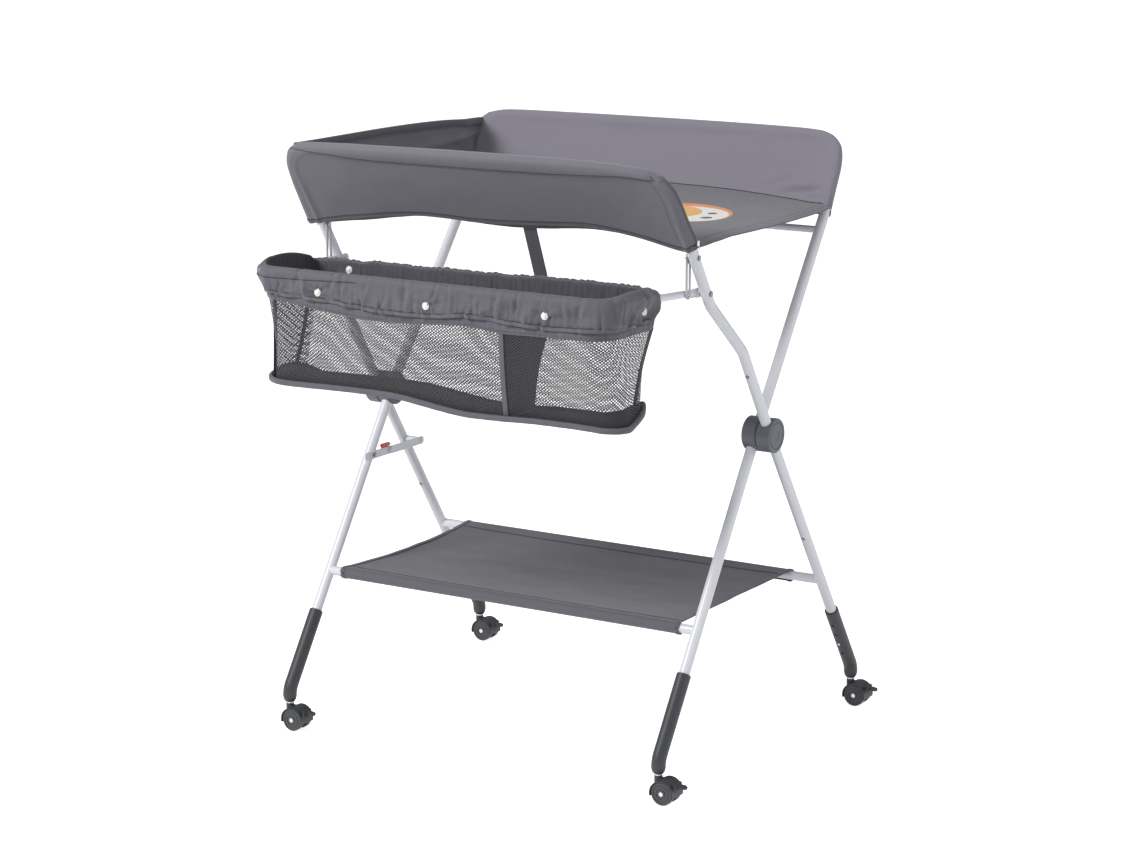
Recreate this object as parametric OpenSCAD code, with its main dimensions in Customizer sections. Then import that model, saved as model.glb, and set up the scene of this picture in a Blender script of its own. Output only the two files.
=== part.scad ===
/* Folding changing table on four swivel casters.
   Millimetres, +Z up, front towards -Y, head end towards -X. */

/* [Place in the frame] */
// Sideways shift that centres the whole outline on the origin
shift_x = -15; // [-60:1:60]
// Front to back shift that centres the whole outline on the origin
shift_y = 49; // [-120:1:120]

/* [Legs] */
// Height of the hub axis above the floor
hub_height = 537; // [480:1:600]
// Outside diameter of the leg tube
leg_d = 18; // [14:0.5:24]
// Wall thickness of the leg tube
leg_wall = 1.4; // [1:0.1:2.5]
// Distance of the outer leg plane from the middle
outer_x = 388; // [330:1:430]
// Distance of the inner leg plane from the middle
inner_x = 362; // [300:1:400]
// Distance of the rim tubes from the middle
rim_x = 356; // [300:1:400]
// Lean of the front upper legs from the vertical
front_upper_lean = 32.2; // [25:0.1:40]
// Lean of the rear upper legs from the vertical
rear_upper_lean = 36.6; // [25:0.1:42]
// Lean of all four lower legs from the vertical
lower_lean = 33.6; // [25:0.1:40]
// Height of the upper tube joints above the hub axis
upper_joint_rise = 99; // [70:1:140]
// Depth of the lower tube joints below the hub axis
lower_joint_drop = 210; // [170:1:250]
// Height above the hub axis where the front upper legs start to step inwards
jog_low_rise = 153; // [125:1:185]
// Height that the step inwards takes
jog_length = 78; // [60:1:110]
// Height above the hub axis where the front legs turn into the line of the rim
front_leg_rise = 322; // [283:1:333]
// Height above the hub axis where the rear legs turn into the line of the rim
rear_leg_rise = 331; // [283:1:335]
// Height of the rim joints above the higher of those two turns
rim_joint_gap = 16; // [12:1:32]
// Length of the reduced tube end inside a joint
spigot_length = 36; // [20:1:60]

/* [Hub] */
// Diameter of the hub discs
hub_d = 57; // [45:1:70]
// Thickness of one hub disc
hub_thickness = 25; // [22:0.5:32]
// Diameter of the pivot bolt
bolt_d = 8; // [6:0.5:12]

/* [Feet] */
// Height of the top of the foot sleeves
foot_top = 188; // [150:1:220]
// Height where the foot turns upright
foot_bend_z = 68; // [60:1:90]
// Outside diameter of the foot sleeve
foot_d = 23.5; // [20:0.5:30]
// Spacing of the height holes
hole_pitch = 23.8; // [18:0.2:30]
// Distance of the first height hole from the sleeve's top
first_hole = 29.4; // [20:0.2:40]
// Diameter of the height holes
height_hole_d = 4.8; // [4:0.1:7]

/* [Casters] */
// Diameter of the caster wheels
wheel_d = 38; // [30:1:60]
// Width of one wheel of the pair
wheel_width = 10.5; // [8:0.5:16]
// Half of the gap between the wheels
web_half = 4.8; // [4:0.1:6]
// Trail of the axle behind the swivel stem
caster_trail = 14; // [8:0.5:20]
// Diameter of the swivel stem
stem_d = 9; // [7:0.5:9]
// Diameter of the wheel axle
axle_d = 5; // [4:0.5:8]

/* [Changing top] */
// Lean of the front rim from the vertical
front_rim_lean = 33.6; // [20:0.1:45]
// Lean of the rear rim from the vertical
rear_rim_lean = 23.9; // [10:0.1:40]
// Height of the rims' middle line above the rim joints
rim_height = 106; // [85:1:150]
// Bend radius of the rim corners
rim_bend = 52; // [35:1:90]
// Thickness of the cloth skins of the panels
skin = 1.8; // [1:0.1:4]
// Depth of the lying surface's underside below the rim joints
sling_drop = 2; // [-8:0.5:4]
// Thickness of the lying surface
sling_thickness = 4; // [2:0.5:15]
// Depth of the panels' lower edge at the legs, below the lying surface
hem_drop = 21; // [10:1:30]
// Thickness of the end panel
end_thickness = 8; // [4:0.5:14]
// Sideways place of the support strap
strap_x = 60; // [0:1:200]
// Length of the support strap below the lying surface
strap_drop = 76; // [40:1:90]
// Width of the support strap
strap_width = 20; // [12:0.5:30]
// Rise of the panel hem in the middle
hem_rise = 20; // [4:1:30]
// Depth of the hanging bar below the lying surface
hang_drop = 40; // [27:1:62]
// Diameter of the hanging bar
hang_d = 12; // [8:0.5:16]

/* [Basket] */
// Diameter of the basket rim tube
arm_d = 12; // [8:0.5:16]
// Distance of the arms from the middle
arm_x = 337.5; // [300:0.5:345]
// Depth of the arm rivets below the lying surface
arm_drop = 92; // [62:1:112]
// Rise of the rim tube from the rivets to the front of the basket
arm_front_rise = 16; // [-10:1:40]
// Distance of the front of the rim tube from the hub plane
arm_front_y = 418; // [360:1:450]
// Outside length of the basket's cloth band
band_length = 694; // [600:1:720]
// Distance of the back of the band from the hub plane
band_back = 266; // [240:1:280]
// Height of the cloth band
band_height = 70; // [40:1:90]
// Depth of the basket's base below its rim tube
basket_depth = 194; // [130:1:250]
// Thickness of the base board
base_thickness = 7; // [3:0.5:12]
// Spacing of the snaps along the front of the band
snap_pitch = 211; // [120:1:280]
// Depth of the snaps below the top of the band
snap_drop = 37; // [15:1:50]
// Bend radius of the rim tube's front corners
arm_bend = 34; // [20:1:45]
// Diameter of the flattened eyes of the arms
eye_d = 16; // [12:0.5:20]
// Width of the slotted links
link_width = 14; // [10:0.5:18]
// Sideways place of the divider
divider_x = 143; // [-200:1:240]
// Depth of the links' upper pivot below the lying surface
link_drop = 30; // [24:1:42]

/* [Shelf] */
// Diameter of the shelf tubes
shelf_d = 16; // [12:0.5:20]
// Height of the shelf tubes
shelf_z = 250; // [200:1:320]
// Length of the shelf cloth
shelf_length = 652; // [500:1:700]

/* [Lock] */
// Depth of the lock's pivots below the hub axis
lock_drop = 106; // [70:1:137]
// Width of the folding links
lock_width = 14; // [10:0.5:20]
// Share of the brace taken by the front link
knee_share = 0.35; // [0.3:0.01:0.45]

/* [Hidden] */
$fn = 48;
leg_r = leg_d / 2;
upper_joint_z = hub_height + upper_joint_rise;
lower_joint_z = hub_height - lower_joint_drop;
jog_low_z = hub_height + jog_low_rise;
jog_high_z = jog_low_z + jog_length;
front_leg_top = hub_height + front_leg_rise;
rear_leg_top = hub_height + rear_leg_rise;
rim_joint_z = max(front_leg_top, rear_leg_top) + rim_joint_gap;
rim_top = rim_joint_z + rim_height;
sling_z = rim_joint_z - sling_drop;
panel_hem_z = sling_z - hem_drop;
hang_z = sling_z - hang_drop;
arm_pivot_z = sling_z - arm_drop;
arm_front_z = arm_pivot_z + arm_front_rise;
base_z = arm_front_z - basket_depth;
link_pivot_z = sling_z - link_drop;
lock_z = hub_height - lock_drop;
whole = 2 * outer_x;
bore_r = leg_r - leg_wall;
spigot_r = bore_r - 0.15;
foot_r = foot_d / 2;
foot_y = (hub_height - foot_bend_z) * tan(lower_lean);
hub_r = hub_d / 2;
wheel_r = wheel_d / 2;
axle_z = wheel_r;
wheel_out = web_half + 0.5 + wheel_width;
hood_r = wheel_r + 2.4;
link_y = -(link_pivot_z - hub_height) * tan(front_upper_lean);
arm_pivot_y = -(arm_pivot_z - hub_height) * tan(front_upper_lean);
inner_side = rim_x - leg_r;
panel_half = leg_r + skin + 0.5;
net_thickness = 1.4;
sling_top = sling_z + sling_thickness;
sling_front = front_rim_y(sling_z) - 3;
sling_rear = rear_rim_y(sling_z) + 3;
band_front = arm_front_y + arm_d / 2 + skin + 1;
band_half = band_length / 2;
band_inset = arm_d + 2 + 2 * skin;
band_top = arm_front_z + arm_d / 2 + 0.4 + skin;
wall_half = band_half - band_inset + skin + net_thickness;
wall_front = band_front - band_inset + skin + net_thickness;
wall_back = band_back + band_inset - skin - net_thickness;
arm_slope = unit([0, -(arm_front_y + arm_pivot_y), arm_front_z - arm_pivot_z]);
pin_z = arm_pivot_z + (arm_pivot_y - link_y) * -arm_slope[2] / arm_slope[1];
lock_front_y = -(hub_height - lock_z) * tan(lower_lean);
lock_rear_y = (hub_height - lock_z) * tan(lower_lean);
knee_y = lock_front_y + knee_share * (lock_rear_y - lock_front_y);
lock_x = -(inner_x - leg_r - 0.6);
button_drop = first_hole + 2 * hole_pitch;
in_dir = [0, -cos(lower_lean), -sin(lower_lean)];
down_dir = [0, sin(lower_lean), -cos(lower_lean)];

// Distance from the hub plane of each leg line at a height
function front_up(z) = -(z - hub_height) * tan(front_upper_lean);
function rear_up(z) = (z - hub_height) * tan(rear_upper_lean);
function low(z) = (hub_height - z) * tan(lower_lean);
function front_rim_y(z) = front_up(front_leg_top) - (z - front_leg_top) * tan(front_rim_lean);
function rear_rim_y(z) = rear_up(rear_leg_top) + (z - rear_leg_top) * tan(rear_rim_lean);
function front_rim_at(z) = [rim_x, front_rim_y(z), z];
function rear_rim_at(z) = [rim_x, rear_rim_y(z), z];
function unit(v) = v / norm(v);
function side_of(d) = unit(cross(abs(d[2]) < 0.9 ? [0, 0, 1] : [1, 0, 0], d));
function turn_between(a, b) = acos(min(1, max(-1, a * b)));
function flip_y(p) = [p[0], -p[1], p[2]];
function flip_x(p) = [-p[0], p[1], p[2]];

// Height of the small lip where a bend meets a straight run
lip = 0.05;

module placed() {
  translate([shift_x, shift_y, 0]) children();
}

module pair() {
  children();
  mirror([1, 0, 0]) children();
}

// Straight round bar from one point to another
module rod(p, q, r) {
  d = unit(q - p);
  x = side_of(d);
  y = cross(d, x);
  multmatrix([[x[0], y[0], d[0], p[0]], [x[1], y[1], d[1], p[1]], [x[2], y[2], d[2], p[2]]])
    cylinder(r = r, h = norm(q - p));
}

// Straight tube from one point to another
module pipe(p, q, r, hole) {
  d = unit(q - p);
  x = side_of(d);
  y = cross(d, x);
  multmatrix([[x[0], y[0], d[0], p[0]], [x[1], y[1], d[1], p[1]], [x[2], y[2], d[2], p[2]]])
    difference() {
      cylinder(r = r, h = norm(q - p));
      translate([0, 0, -1]) cylinder(r = hole, h = norm(q - p) + 2);
    }
}

// Round elbow that joins the run a to b with the run b to c
module elbow(a, b, c, bend_r, r, hole) {
  d1 = unit(b - a);
  d2 = unit(c - b);
  turn = turn_between(d1, d2);
  s = b - d1 * bend_r * tan(turn / 2);
  n = unit(d2 - d1 * (d1 * d2));
  o = s + n * bend_r;
  w = cross(d1, n);
  multmatrix([[-n[0], d1[0], w[0], o[0]], [-n[1], d1[1], w[1], o[1]], [-n[2], d1[2], w[2], o[2]]])
    rotate_extrude(angle = turn, $fn = 64)
      translate([bend_r, 0]) difference() {
        circle(r = r + lip, $fn = 48);
        if (hole > 0) circle(r = hole - lip, $fn = 48);
      }
}

// Bent tube through a list of points with one bend radius for each corner
module bent(points, bends, r, hole) {
  last = len(points) - 1;
  for (i = [0 : last - 1]) {
    d = unit(points[i + 1] - points[i]);
    before = i == 0 ? 0 : bends[i - 1] * tan(turn_between(unit(points[i] - points[i - 1]), d) / 2);
    after = i == last - 1 ? 0
      : bends[i] * tan(turn_between(d, unit(points[i + 2] - points[i + 1])) / 2);
    from = points[i] + d * (before - (i == 0 ? 0 : 0.4));
    to = points[i + 1] - d * (after - (i == last - 1 ? 0 : 0.4));
    if (hole > 0) pipe(from, to, r, hole);
    else rod(from, to, r);
  }
  for (i = [1 : last - 1])
    elbow(points[i - 1], points[i], points[i + 1], bends[i - 1], r, hole);
}

// Places of the tube joints and of their spring buttons
function fu(x, z) = [x, front_up(z), z];
function rear_leg_at(z) = [inner_x - (inner_x - rim_x) * (z - hub_height) / (rear_leg_top - hub_height),
  rear_up(z), z];
function rear_low(z) = [outer_x, low(z), z];
function front_low(z) = [inner_x, -low(z), z];
up_front = unit([0, -sin(front_upper_lean), cos(front_upper_lean)]);
front_face = [0, -cos(front_upper_lean), -sin(front_upper_lean)];
rear_face = [0, cos(rear_upper_lean), -sin(rear_upper_lean)];
rear_kink = rear_leg_at(rear_leg_top);
rear_leg_dir = unit(rear_kink - rear_leg_at(hub_height));
outer_top_button = fu(outer_x, upper_joint_z) + up_front * 18;
outer_low_button = rear_low(lower_joint_z) - down_dir * 16;
inner_top_button = rear_leg_at(upper_joint_z) - rear_leg_dir * 18;
inner_low_button = front_low(lower_joint_z) - flip_y(down_dir) * 16;
front_down = flip_y(down_dir);
front_in = flip_y(in_dir);

// ---- outer frame ----

// Reduced tube end that is pressed into the tube it starts in
module spigot(p, q) {
  d = unit(q - p);
  pipe(p, q, spigot_r, spigot_r - 1.2);
  pipe(p + d * 0.5, p + d * 5, bore_r + 0.2, spigot_r - 0.6);
}

module outer_centre_one() {
  top = fu(outer_x, upper_joint_z);
  mid = [outer_x, 0, hub_height];
  bottom = rear_low(lower_joint_z);
  difference() {
    union() {
      bent([top, mid, bottom], [160], leg_r, bore_r);
      spigot(top - up_front * 6, top + up_front * spigot_length);
    }
    translate([outer_x - 20, 0, hub_height]) rotate([0, 90, 0]) cylinder(d = bolt_d + 0.1, h = 40);
    rod(outer_top_button, outer_top_button + front_face * 20, 3.2);
    rod(outer_low_button, outer_low_button + in_dir * 20, 3.2);
  }
}

module outer_centre_tubes() {
  placed() color([0.93, 0.93, 0.94]) pair() outer_centre_one();
}

module front_upper_one() {
  base = fu(outer_x, upper_joint_z);
  difference() {
    bent([base, fu(outer_x, jog_low_z), fu(rim_x, jog_high_z), fu(rim_x, front_leg_top),
      front_rim_at(rim_joint_z)], [55, 55, 120], leg_r, bore_r);
    rod(outer_top_button, outer_top_button + front_face * 20, 3.2);
    rod([rim_x - 30, link_y, link_pivot_z], [rim_x + 30, link_y, link_pivot_z], 2.6);
    rod([rim_x - 30, arm_pivot_y, arm_pivot_z], [rim_x + 30, arm_pivot_y, arm_pivot_z], 3.1);
  }
}

module front_upper_tube_left() {
  placed() color([0.93, 0.93, 0.94]) mirror([1, 0, 0]) front_upper_one();
}

module front_upper_tube_right() {
  placed() color([0.93, 0.93, 0.94]) front_upper_one();
}

tube_end_z = foot_top - 100 * cos(lower_lean);
foot_button = rear_low(foot_top) + down_dir * button_drop;

module rear_lower_one() {
  start = rear_low(lower_joint_z);
  difference() {
    union() {
      pipe(start, rear_low(tube_end_z), leg_r, bore_r);
      spigot(start + down_dir * 6, start - down_dir * spigot_length);
    }
    rod(outer_low_button, outer_low_button + in_dir * 20, 3.2);
    rod(foot_button, foot_button + in_dir * 20, 2.35);
  }
}

module rear_lower_tubes() {
  placed() color([0.93, 0.93, 0.94]) pair() rear_lower_one();
}

module hub_disc(x_low, points_up, points_down, face_x, face_dir) {
  mid = [x_low + hub_thickness / 2, 0, hub_height];
  difference() {
    translate([x_low, 0, hub_height]) rotate([0, 90, 0]) union() {
      translate([0, 0, 1.5]) cylinder(r = hub_r, h = hub_thickness - 3);
      cylinder(r1 = hub_r - 1.5, r2 = hub_r, h = 1.5);
      translate([0, 0, hub_thickness - 1.5]) cylinder(r1 = hub_r, r2 = hub_r - 1.5, h = 1.5);
    }
    rod(mid + points_up * 3, mid + points_up * 45, leg_r + 0.06);
    rod(mid + points_down * 3, mid + points_down * 45, leg_r + 0.06);
    translate(mid - [leg_r + 0.3, 0, 0]) rotate([0, 90, 0]) cylinder(r = leg_r + 3, h = leg_d + 0.6);
    translate([x_low - 1, 0, hub_height]) rotate([0, 90, 0])
      cylinder(d = bolt_d + 0.12, h = hub_thickness + 2);
    translate([face_x, 0, hub_height]) rotate([0, face_dir * 90, 0])
      difference() {
        translate([0, 0, -1.2]) cylinder(r = hub_r * 0.78, h = 3);
        translate([0, 0, -2]) cylinder(r = hub_r * 0.74, h = 5);
      }
    translate([face_x, 0, hub_height]) rotate([0, face_dir * 90, 0])
      translate([0, 0, -2.6]) cylinder(r = bolt_d / 2 + 3.2, h = 4);
  }
}

module outer_hubs() {
  placed() color([0.26, 0.26, 0.28]) pair()
    hub_disc(outer_x - hub_thickness / 2, up_front, down_dir, outer_x + hub_thickness / 2, 1);
}

module hub_bolts() {
  placed() color([0.6, 0.6, 0.62]) pair() {
    x0 = inner_x - hub_thickness / 2 + 0.2;
    x1 = outer_x + hub_thickness / 2;
    translate([x0, 0, hub_height]) rotate([0, 90, 0]) cylinder(d = bolt_d, h = x1 - x0 - 0.6);
    translate([x1 - 2.5, 0, hub_height]) rotate([0, 90, 0]) cylinder(r = bolt_d / 2 + 3, h = 2.2);
    translate([x0, 0, hub_height]) rotate([0, 90, 0]) cylinder(r = bolt_d / 2 + 3, h = 2.2);
  }
}

front_rim_dir = [0, -sin(front_rim_lean), cos(front_rim_lean)];
rear_rim_dir = [0, sin(rear_rim_lean), cos(rear_rim_lean)];

// Bent tube of one rim with its reduced ends
module rim_tube(low_end, top_end, dir) {
  bent([flip_x(low_end), flip_x(top_end), top_end, low_end], [rim_bend, rim_bend], leg_r, bore_r);
  pair() spigot(low_end + dir * 6, low_end - dir * 11);
}

module front_rim_tube() {
  placed() color([0.93, 0.93, 0.94])
    rim_tube(front_rim_at(rim_joint_z), front_rim_at(rim_top), front_rim_dir);
}

module rear_shelf_tube() {
  y = low(shelf_z);
  placed() color([0.93, 0.93, 0.94]) difference() {
    pipe([-outer_x, y, shelf_z], [outer_x, y, shelf_z], shelf_d / 2, shelf_d / 2 - 1.2);
    pair() rod(rear_low(shelf_z + 40), rear_low(shelf_z - 40), leg_r);
  }
}

// Domed button or rivet head that stands on a tube
module dome(p, d, r, height, root) {
  rod(p - d * root, p + d * height * 0.55, r);
  rod(p + d * height * 0.55, p + d * height, r * 0.78);
}

module outer_fasteners() {
  placed() color([0.78, 0.78, 0.8]) pair() {
    dome(outer_top_button + front_face * leg_r, front_face, 3, 1.8, 3);
    dome(outer_low_button + in_dir * leg_r, in_dir, 3, 1.8, 3);
    rod([inner_side - 4.2, link_y, link_pivot_z], [rim_x + leg_r, link_y, link_pivot_z], 2.5);
    rod([inner_side - 4.4, link_y, link_pivot_z], [inner_side - 2.5, link_y, link_pivot_z], 4.6);
    dome([rim_x + leg_r, link_y, link_pivot_z], [1, 0, 0], 4.5, 1.8, 0);
    rod([rim_x - leg_r - 9, arm_pivot_y, arm_pivot_z], [rim_x + leg_r, arm_pivot_y, arm_pivot_z], 3);
    dome([rim_x + leg_r, arm_pivot_y, arm_pivot_z], [1, 0, 0], 5, 1.8, 0);
  }
}

module rear_height_buttons() {
  placed() color([0.75, 0.75, 0.77]) pair()
    rod(foot_button + in_dir * (bore_r - 2), foot_button + in_dir * (foot_r + 0.6), 2.25);
}

// ---- cloth of the changing top ----

// Cloth case of one rim: two skins with the tube between them, open at the bottom
module rim_case(foot, lean, hem, side) {
  rise = hem_rise / cos(lean);
  run_up = (rim_top - foot[1]) / cos(lean);
  out_r = rim_bend + panel_half;
  top = run_up + panel_half;
  half = rim_x + panel_half;
  bottom = (hem - foot[1]) / cos(lean);
  arch_r = (half * half + rise * rise) / (2 * rise);
  translate([0, foot[0], foot[1]]) rotate([side * lean, 0, 0]) difference() {
    rotate([90, 0, 0]) translate([0, 0, -panel_half]) linear_extrude(2 * panel_half)
      case_outline(half, bottom, top, out_r);
    rotate([90, 0, 0]) translate([0, 0, -panel_half + skin])
      linear_extrude(2 * (panel_half - skin))
        case_outline(half - skin, bottom - 20, top - skin, out_r - skin);
    translate([0, -60, bottom + rise - arch_r]) rotate([-90, 0, 0])
      cylinder(r = arch_r, h = 120, $fn = 180);
  }
}

module case_outline(half, bottom, top, r) {
  translate([-half, bottom]) square([2 * half, top - bottom - r]);
  translate([-half + r, bottom]) square([2 * half - 2 * r, top - bottom]);
  for (s = [-1, 1]) translate([s * (half - r), top - r]) circle(r = r, $fn = 72);
}

module front_panel() {
  placed() color([0.43, 0.42, 0.45]) difference() {
    rim_case([front_up(front_leg_top), front_leg_top], front_rim_lean, panel_hem_z, 1);
    translate([-whole, sling_front - 0.1, sling_top - whole]) cube([2 * whole, whole, whole]);
  }
}

module rear_panel() {
  placed() color([0.43, 0.42, 0.45]) difference() {
    rim_case([rear_up(rear_leg_top), rear_leg_top], rear_rim_lean, panel_hem_z, -1);
    translate([-whole, sling_rear + 0.4 - whole, sling_top + 0.4 - whole]) cube([2 * whole, whole, whole]);
  }
}

module changing_sling() {
  half = rim_x - leg_r - 2;
  wing = rim_x + panel_half - 1;
  wing_front = front_rim_y(sling_top) + panel_half / cos(front_rim_lean) + 3;
  wing_rear = rear_rim_y(sling_z) - panel_half / cos(rear_rim_lean) - 3;
  placed() color([0.43, 0.42, 0.45]) translate([0, 0, sling_z]) linear_extrude(sling_thickness)
    polygon([[-half, sling_front], [half, sling_front], [half, wing_front], [wing, wing_front],
      [wing, wing_rear], [half, wing_rear], [half, sling_rear], [-half, sling_rear],
      [-half, wing_rear], [-wing, wing_rear], [-wing, wing_front], [-half, wing_front]]);
}

module end_panel() {
  z0 = sling_top;
  z1 = rim_top - 4;
  off_f = panel_half / cos(front_rim_lean);
  off_r = panel_half / cos(rear_rim_lean) + 0.5;
  x0 = -(rim_x - leg_r - 3);
  placed() color([0.43, 0.42, 0.45]) union() {
    translate([x0, 0, 0]) rotate([90, 0, 90]) linear_extrude(end_thickness) polygon([
      [front_rim_y(z0) + off_f, z0],
      [rear_rim_y(z0) - off_r, z0],
      [rear_rim_y(z1) - off_r, z1],
      [front_rim_y(z1) + off_f, z1]]);
    rod([x0 + end_thickness / 2, front_rim_y(z1) + off_f + 5, z1 - 1],
      [x0 + end_thickness / 2, rear_rim_y(z1) - off_r - 5, z1 - 1], end_thickness * 0.87);
  }
}

module support_strap() {
  top = [strap_x, front_rim_y(sling_z) + 3, sling_z];
  foot = [strap_x + strap_width * 0.85, top[1] - 1, sling_z - strap_drop];
  drop = top[2] - foot[2];
  placed() color([0.16, 0.16, 0.18])
    multmatrix([[1, 0, (top[0] - foot[0]) / drop, foot[0]],
      [0, 1, (top[1] - foot[1]) / drop, foot[1]], [0, 0, 1, foot[2]]])
      translate([-strap_width / 2, -0.8, 0]) cube([strap_width, 1.6, drop]);
}

// ---- shelf ----

module shelf_sling() {
  half = shelf_length / 2;
  y = low(shelf_z);
  r = shelf_d / 2;
  placed() color([0.4, 0.39, 0.42]) difference() {
    union() {
      translate([-half, -y, shelf_z + r - 0.8]) cube([2 * half, 2 * y, 3.2]);
      for (s = [-1, 1]) rod([-half, s * y, shelf_z], [half, s * y, shelf_z], r + 2.4);
    }
    rod([-half - 1, y, shelf_z], [half + 1, y, shelf_z], r);
    rod([-half - 1, -y, shelf_z], [half + 1, -y, shelf_z], r + 0.35);
  }
}

// ---- inner frame ----

module inner_centre_one() {
  top = rear_leg_at(upper_joint_z);
  mid = [inner_x, 0, hub_height];
  bottom = front_low(lower_joint_z);
  difference() {
    bent([top, mid, bottom], [160], leg_r, bore_r);
    translate([inner_x - 20, 0, hub_height]) rotate([0, 90, 0])
      cylinder(d = bolt_d + 0.16, h = 40);
    rod(inner_top_button, inner_top_button + rear_face * 20, 3.2);
    rod(inner_low_button, inner_low_button + front_in * 20, 3.2);
  }
}

module inner_centre_tubes() {
  placed() color([0.93, 0.93, 0.94]) pair() inner_centre_one();
}

module rear_upper_one() {
  start = rear_leg_at(upper_joint_z);
  difference() {
    union() {
      bent([start, rear_kink, rear_rim_at(rim_joint_z)], [40], leg_r, bore_r);
      spigot(start + rear_leg_dir * 6, start - rear_leg_dir * spigot_length);
    }
    rod(inner_top_button, inner_top_button + rear_face * 20, 3.2);
  }
}

module rear_upper_tube_left() {
  placed() color([0.93, 0.93, 0.94]) mirror([1, 0, 0]) rear_upper_one();
}

module rear_upper_tube_right() {
  placed() color([0.93, 0.93, 0.94]) rear_upper_one();
}

front_foot_button = front_low(foot_top) + front_down * button_drop;

module front_lower_one() {
  start = front_low(lower_joint_z);
  difference() {
    union() {
      pipe(start, front_low(tube_end_z), leg_r, bore_r);
      spigot(start + front_down * 6, start - front_down * spigot_length);
    }
    rod(inner_low_button, inner_low_button + front_in * 20, 3.2);
    rod(front_foot_button, front_foot_button + front_in * 20, 2.35);
  }
}

module front_lower_tubes() {
  placed() color([0.93, 0.93, 0.94]) pair() front_lower_one();
}

module inner_hubs() {
  placed() color([0.26, 0.26, 0.28]) pair()
    hub_disc(inner_x - hub_thickness / 2, rear_leg_dir, front_down, inner_x - hub_thickness / 2, -1);
}

module rear_rim_tube() {
  placed() color([0.93, 0.93, 0.94])
    rim_tube(rear_rim_at(rim_joint_z), rear_rim_at(rim_top), rear_rim_dir);
}

module hanging_bar() {
  y = rear_up(hang_z);
  x = rear_leg_at(hang_z)[0];
  d = rear_leg_dir;
  placed() color([0.93, 0.93, 0.94]) difference() {
    pipe([-x, y, hang_z], [x, y, hang_z], hang_d / 2, hang_d / 2 - 1.2);
    pair() rod([x, y, hang_z] - d * 30, [x, y, hang_z] + d * 25, leg_r);
  }
}

module front_shelf_tube() {
  y = -low(shelf_z);
  placed() color([0.93, 0.93, 0.94]) difference() {
    pipe([-inner_x, y, shelf_z], [inner_x, y, shelf_z], shelf_d / 2, shelf_d / 2 - 1.2);
    pair() rod(front_low(shelf_z + 40), front_low(shelf_z - 40), leg_r);
  }
}

module inner_fasteners() {
  placed() color([0.78, 0.78, 0.8]) {
    pair() {
      dome(inner_top_button + rear_face * leg_r, rear_face, 3, 1.8, 3);
      dome(inner_low_button + front_in * leg_r, front_in, 3, 1.8, 3);
    }
    difference() {
      rod([lock_x - 3, lock_front_y, lock_z], [lock_x + 4.4, lock_front_y, lock_z], 2.9);
      rod(flip_x(front_low(lock_z + 40)), flip_x(front_low(lock_z - 40)), leg_r);
    }
    dome([lock_x + 4.4, lock_front_y, lock_z], [1, 0, 0], 4.6, 1.6, 0);
  }
}

module front_height_buttons() {
  placed() color([0.75, 0.75, 0.77]) pair()
    rod(front_foot_button + front_in * (bore_r - 2),
      front_foot_button + front_in * (foot_r + 0.6), 2.25);
}

// ---- feet ----

// Sleeve of a rear foot at the given side plane
module foot_shape(x) {
  top = [x, low(foot_top), foot_top];
  turn = [x, foot_y, foot_bend_z];
  end = [x, foot_y, foot_bend_z - 12];
  difference() {
    union() {
      bent([top + down_dir * 1.2, turn, end], [34], foot_r, 0);
      rod(top, top + down_dir * 1.8, foot_r - 0.8);
      translate([x, foot_y, foot_bend_z - 17]) cylinder(r1 = foot_r - 1.2, r2 = foot_r - 0.1, h = 5.6);
      translate([x, foot_y, foot_bend_z - 21]) cylinder(r1 = foot_r - 4, r2 = foot_r - 1.1, h = 4.3);
    }
    rod(top - down_dir * 2, top + down_dir * 127, leg_r + 0.08);
    translate([x, foot_y, 40]) cylinder(r = stem_d / 2 + 0.08, h = foot_bend_z - 42);
    for (i = [0 : 3]) {
      p = top + down_dir * (first_hole + i * hole_pitch);
      rod(p, p + in_dir * 30, height_hole_d / 2);
    }
  }
}

module foot_front_left() {
  placed() color([0.27, 0.27, 0.29]) mirror([1, 0, 0]) mirror([0, 1, 0]) foot_shape(inner_x);
}

module foot_front_right() {
  placed() color([0.27, 0.27, 0.29]) mirror([0, 1, 0]) foot_shape(inner_x);
}

module foot_rear_left() {
  placed() color([0.27, 0.27, 0.29]) mirror([1, 0, 0]) foot_shape(outer_x);
}

module foot_rear_right() {
  placed() color([0.27, 0.27, 0.29]) foot_shape(outer_x);
}

// ---- casters ----

// Moves a caster built at the origin to one of the four feet
module at_foot(sx, front) {
  x = front ? inner_x : outer_x;
  placed() translate([sx * x, front ? -foot_y : foot_y, 0]) children();
}

module along_y(y0, y1, r) {
  translate([0, y1, 0]) rotate([90, 0, 0]) cylinder(r = r, h = y1 - y0);
}

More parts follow.
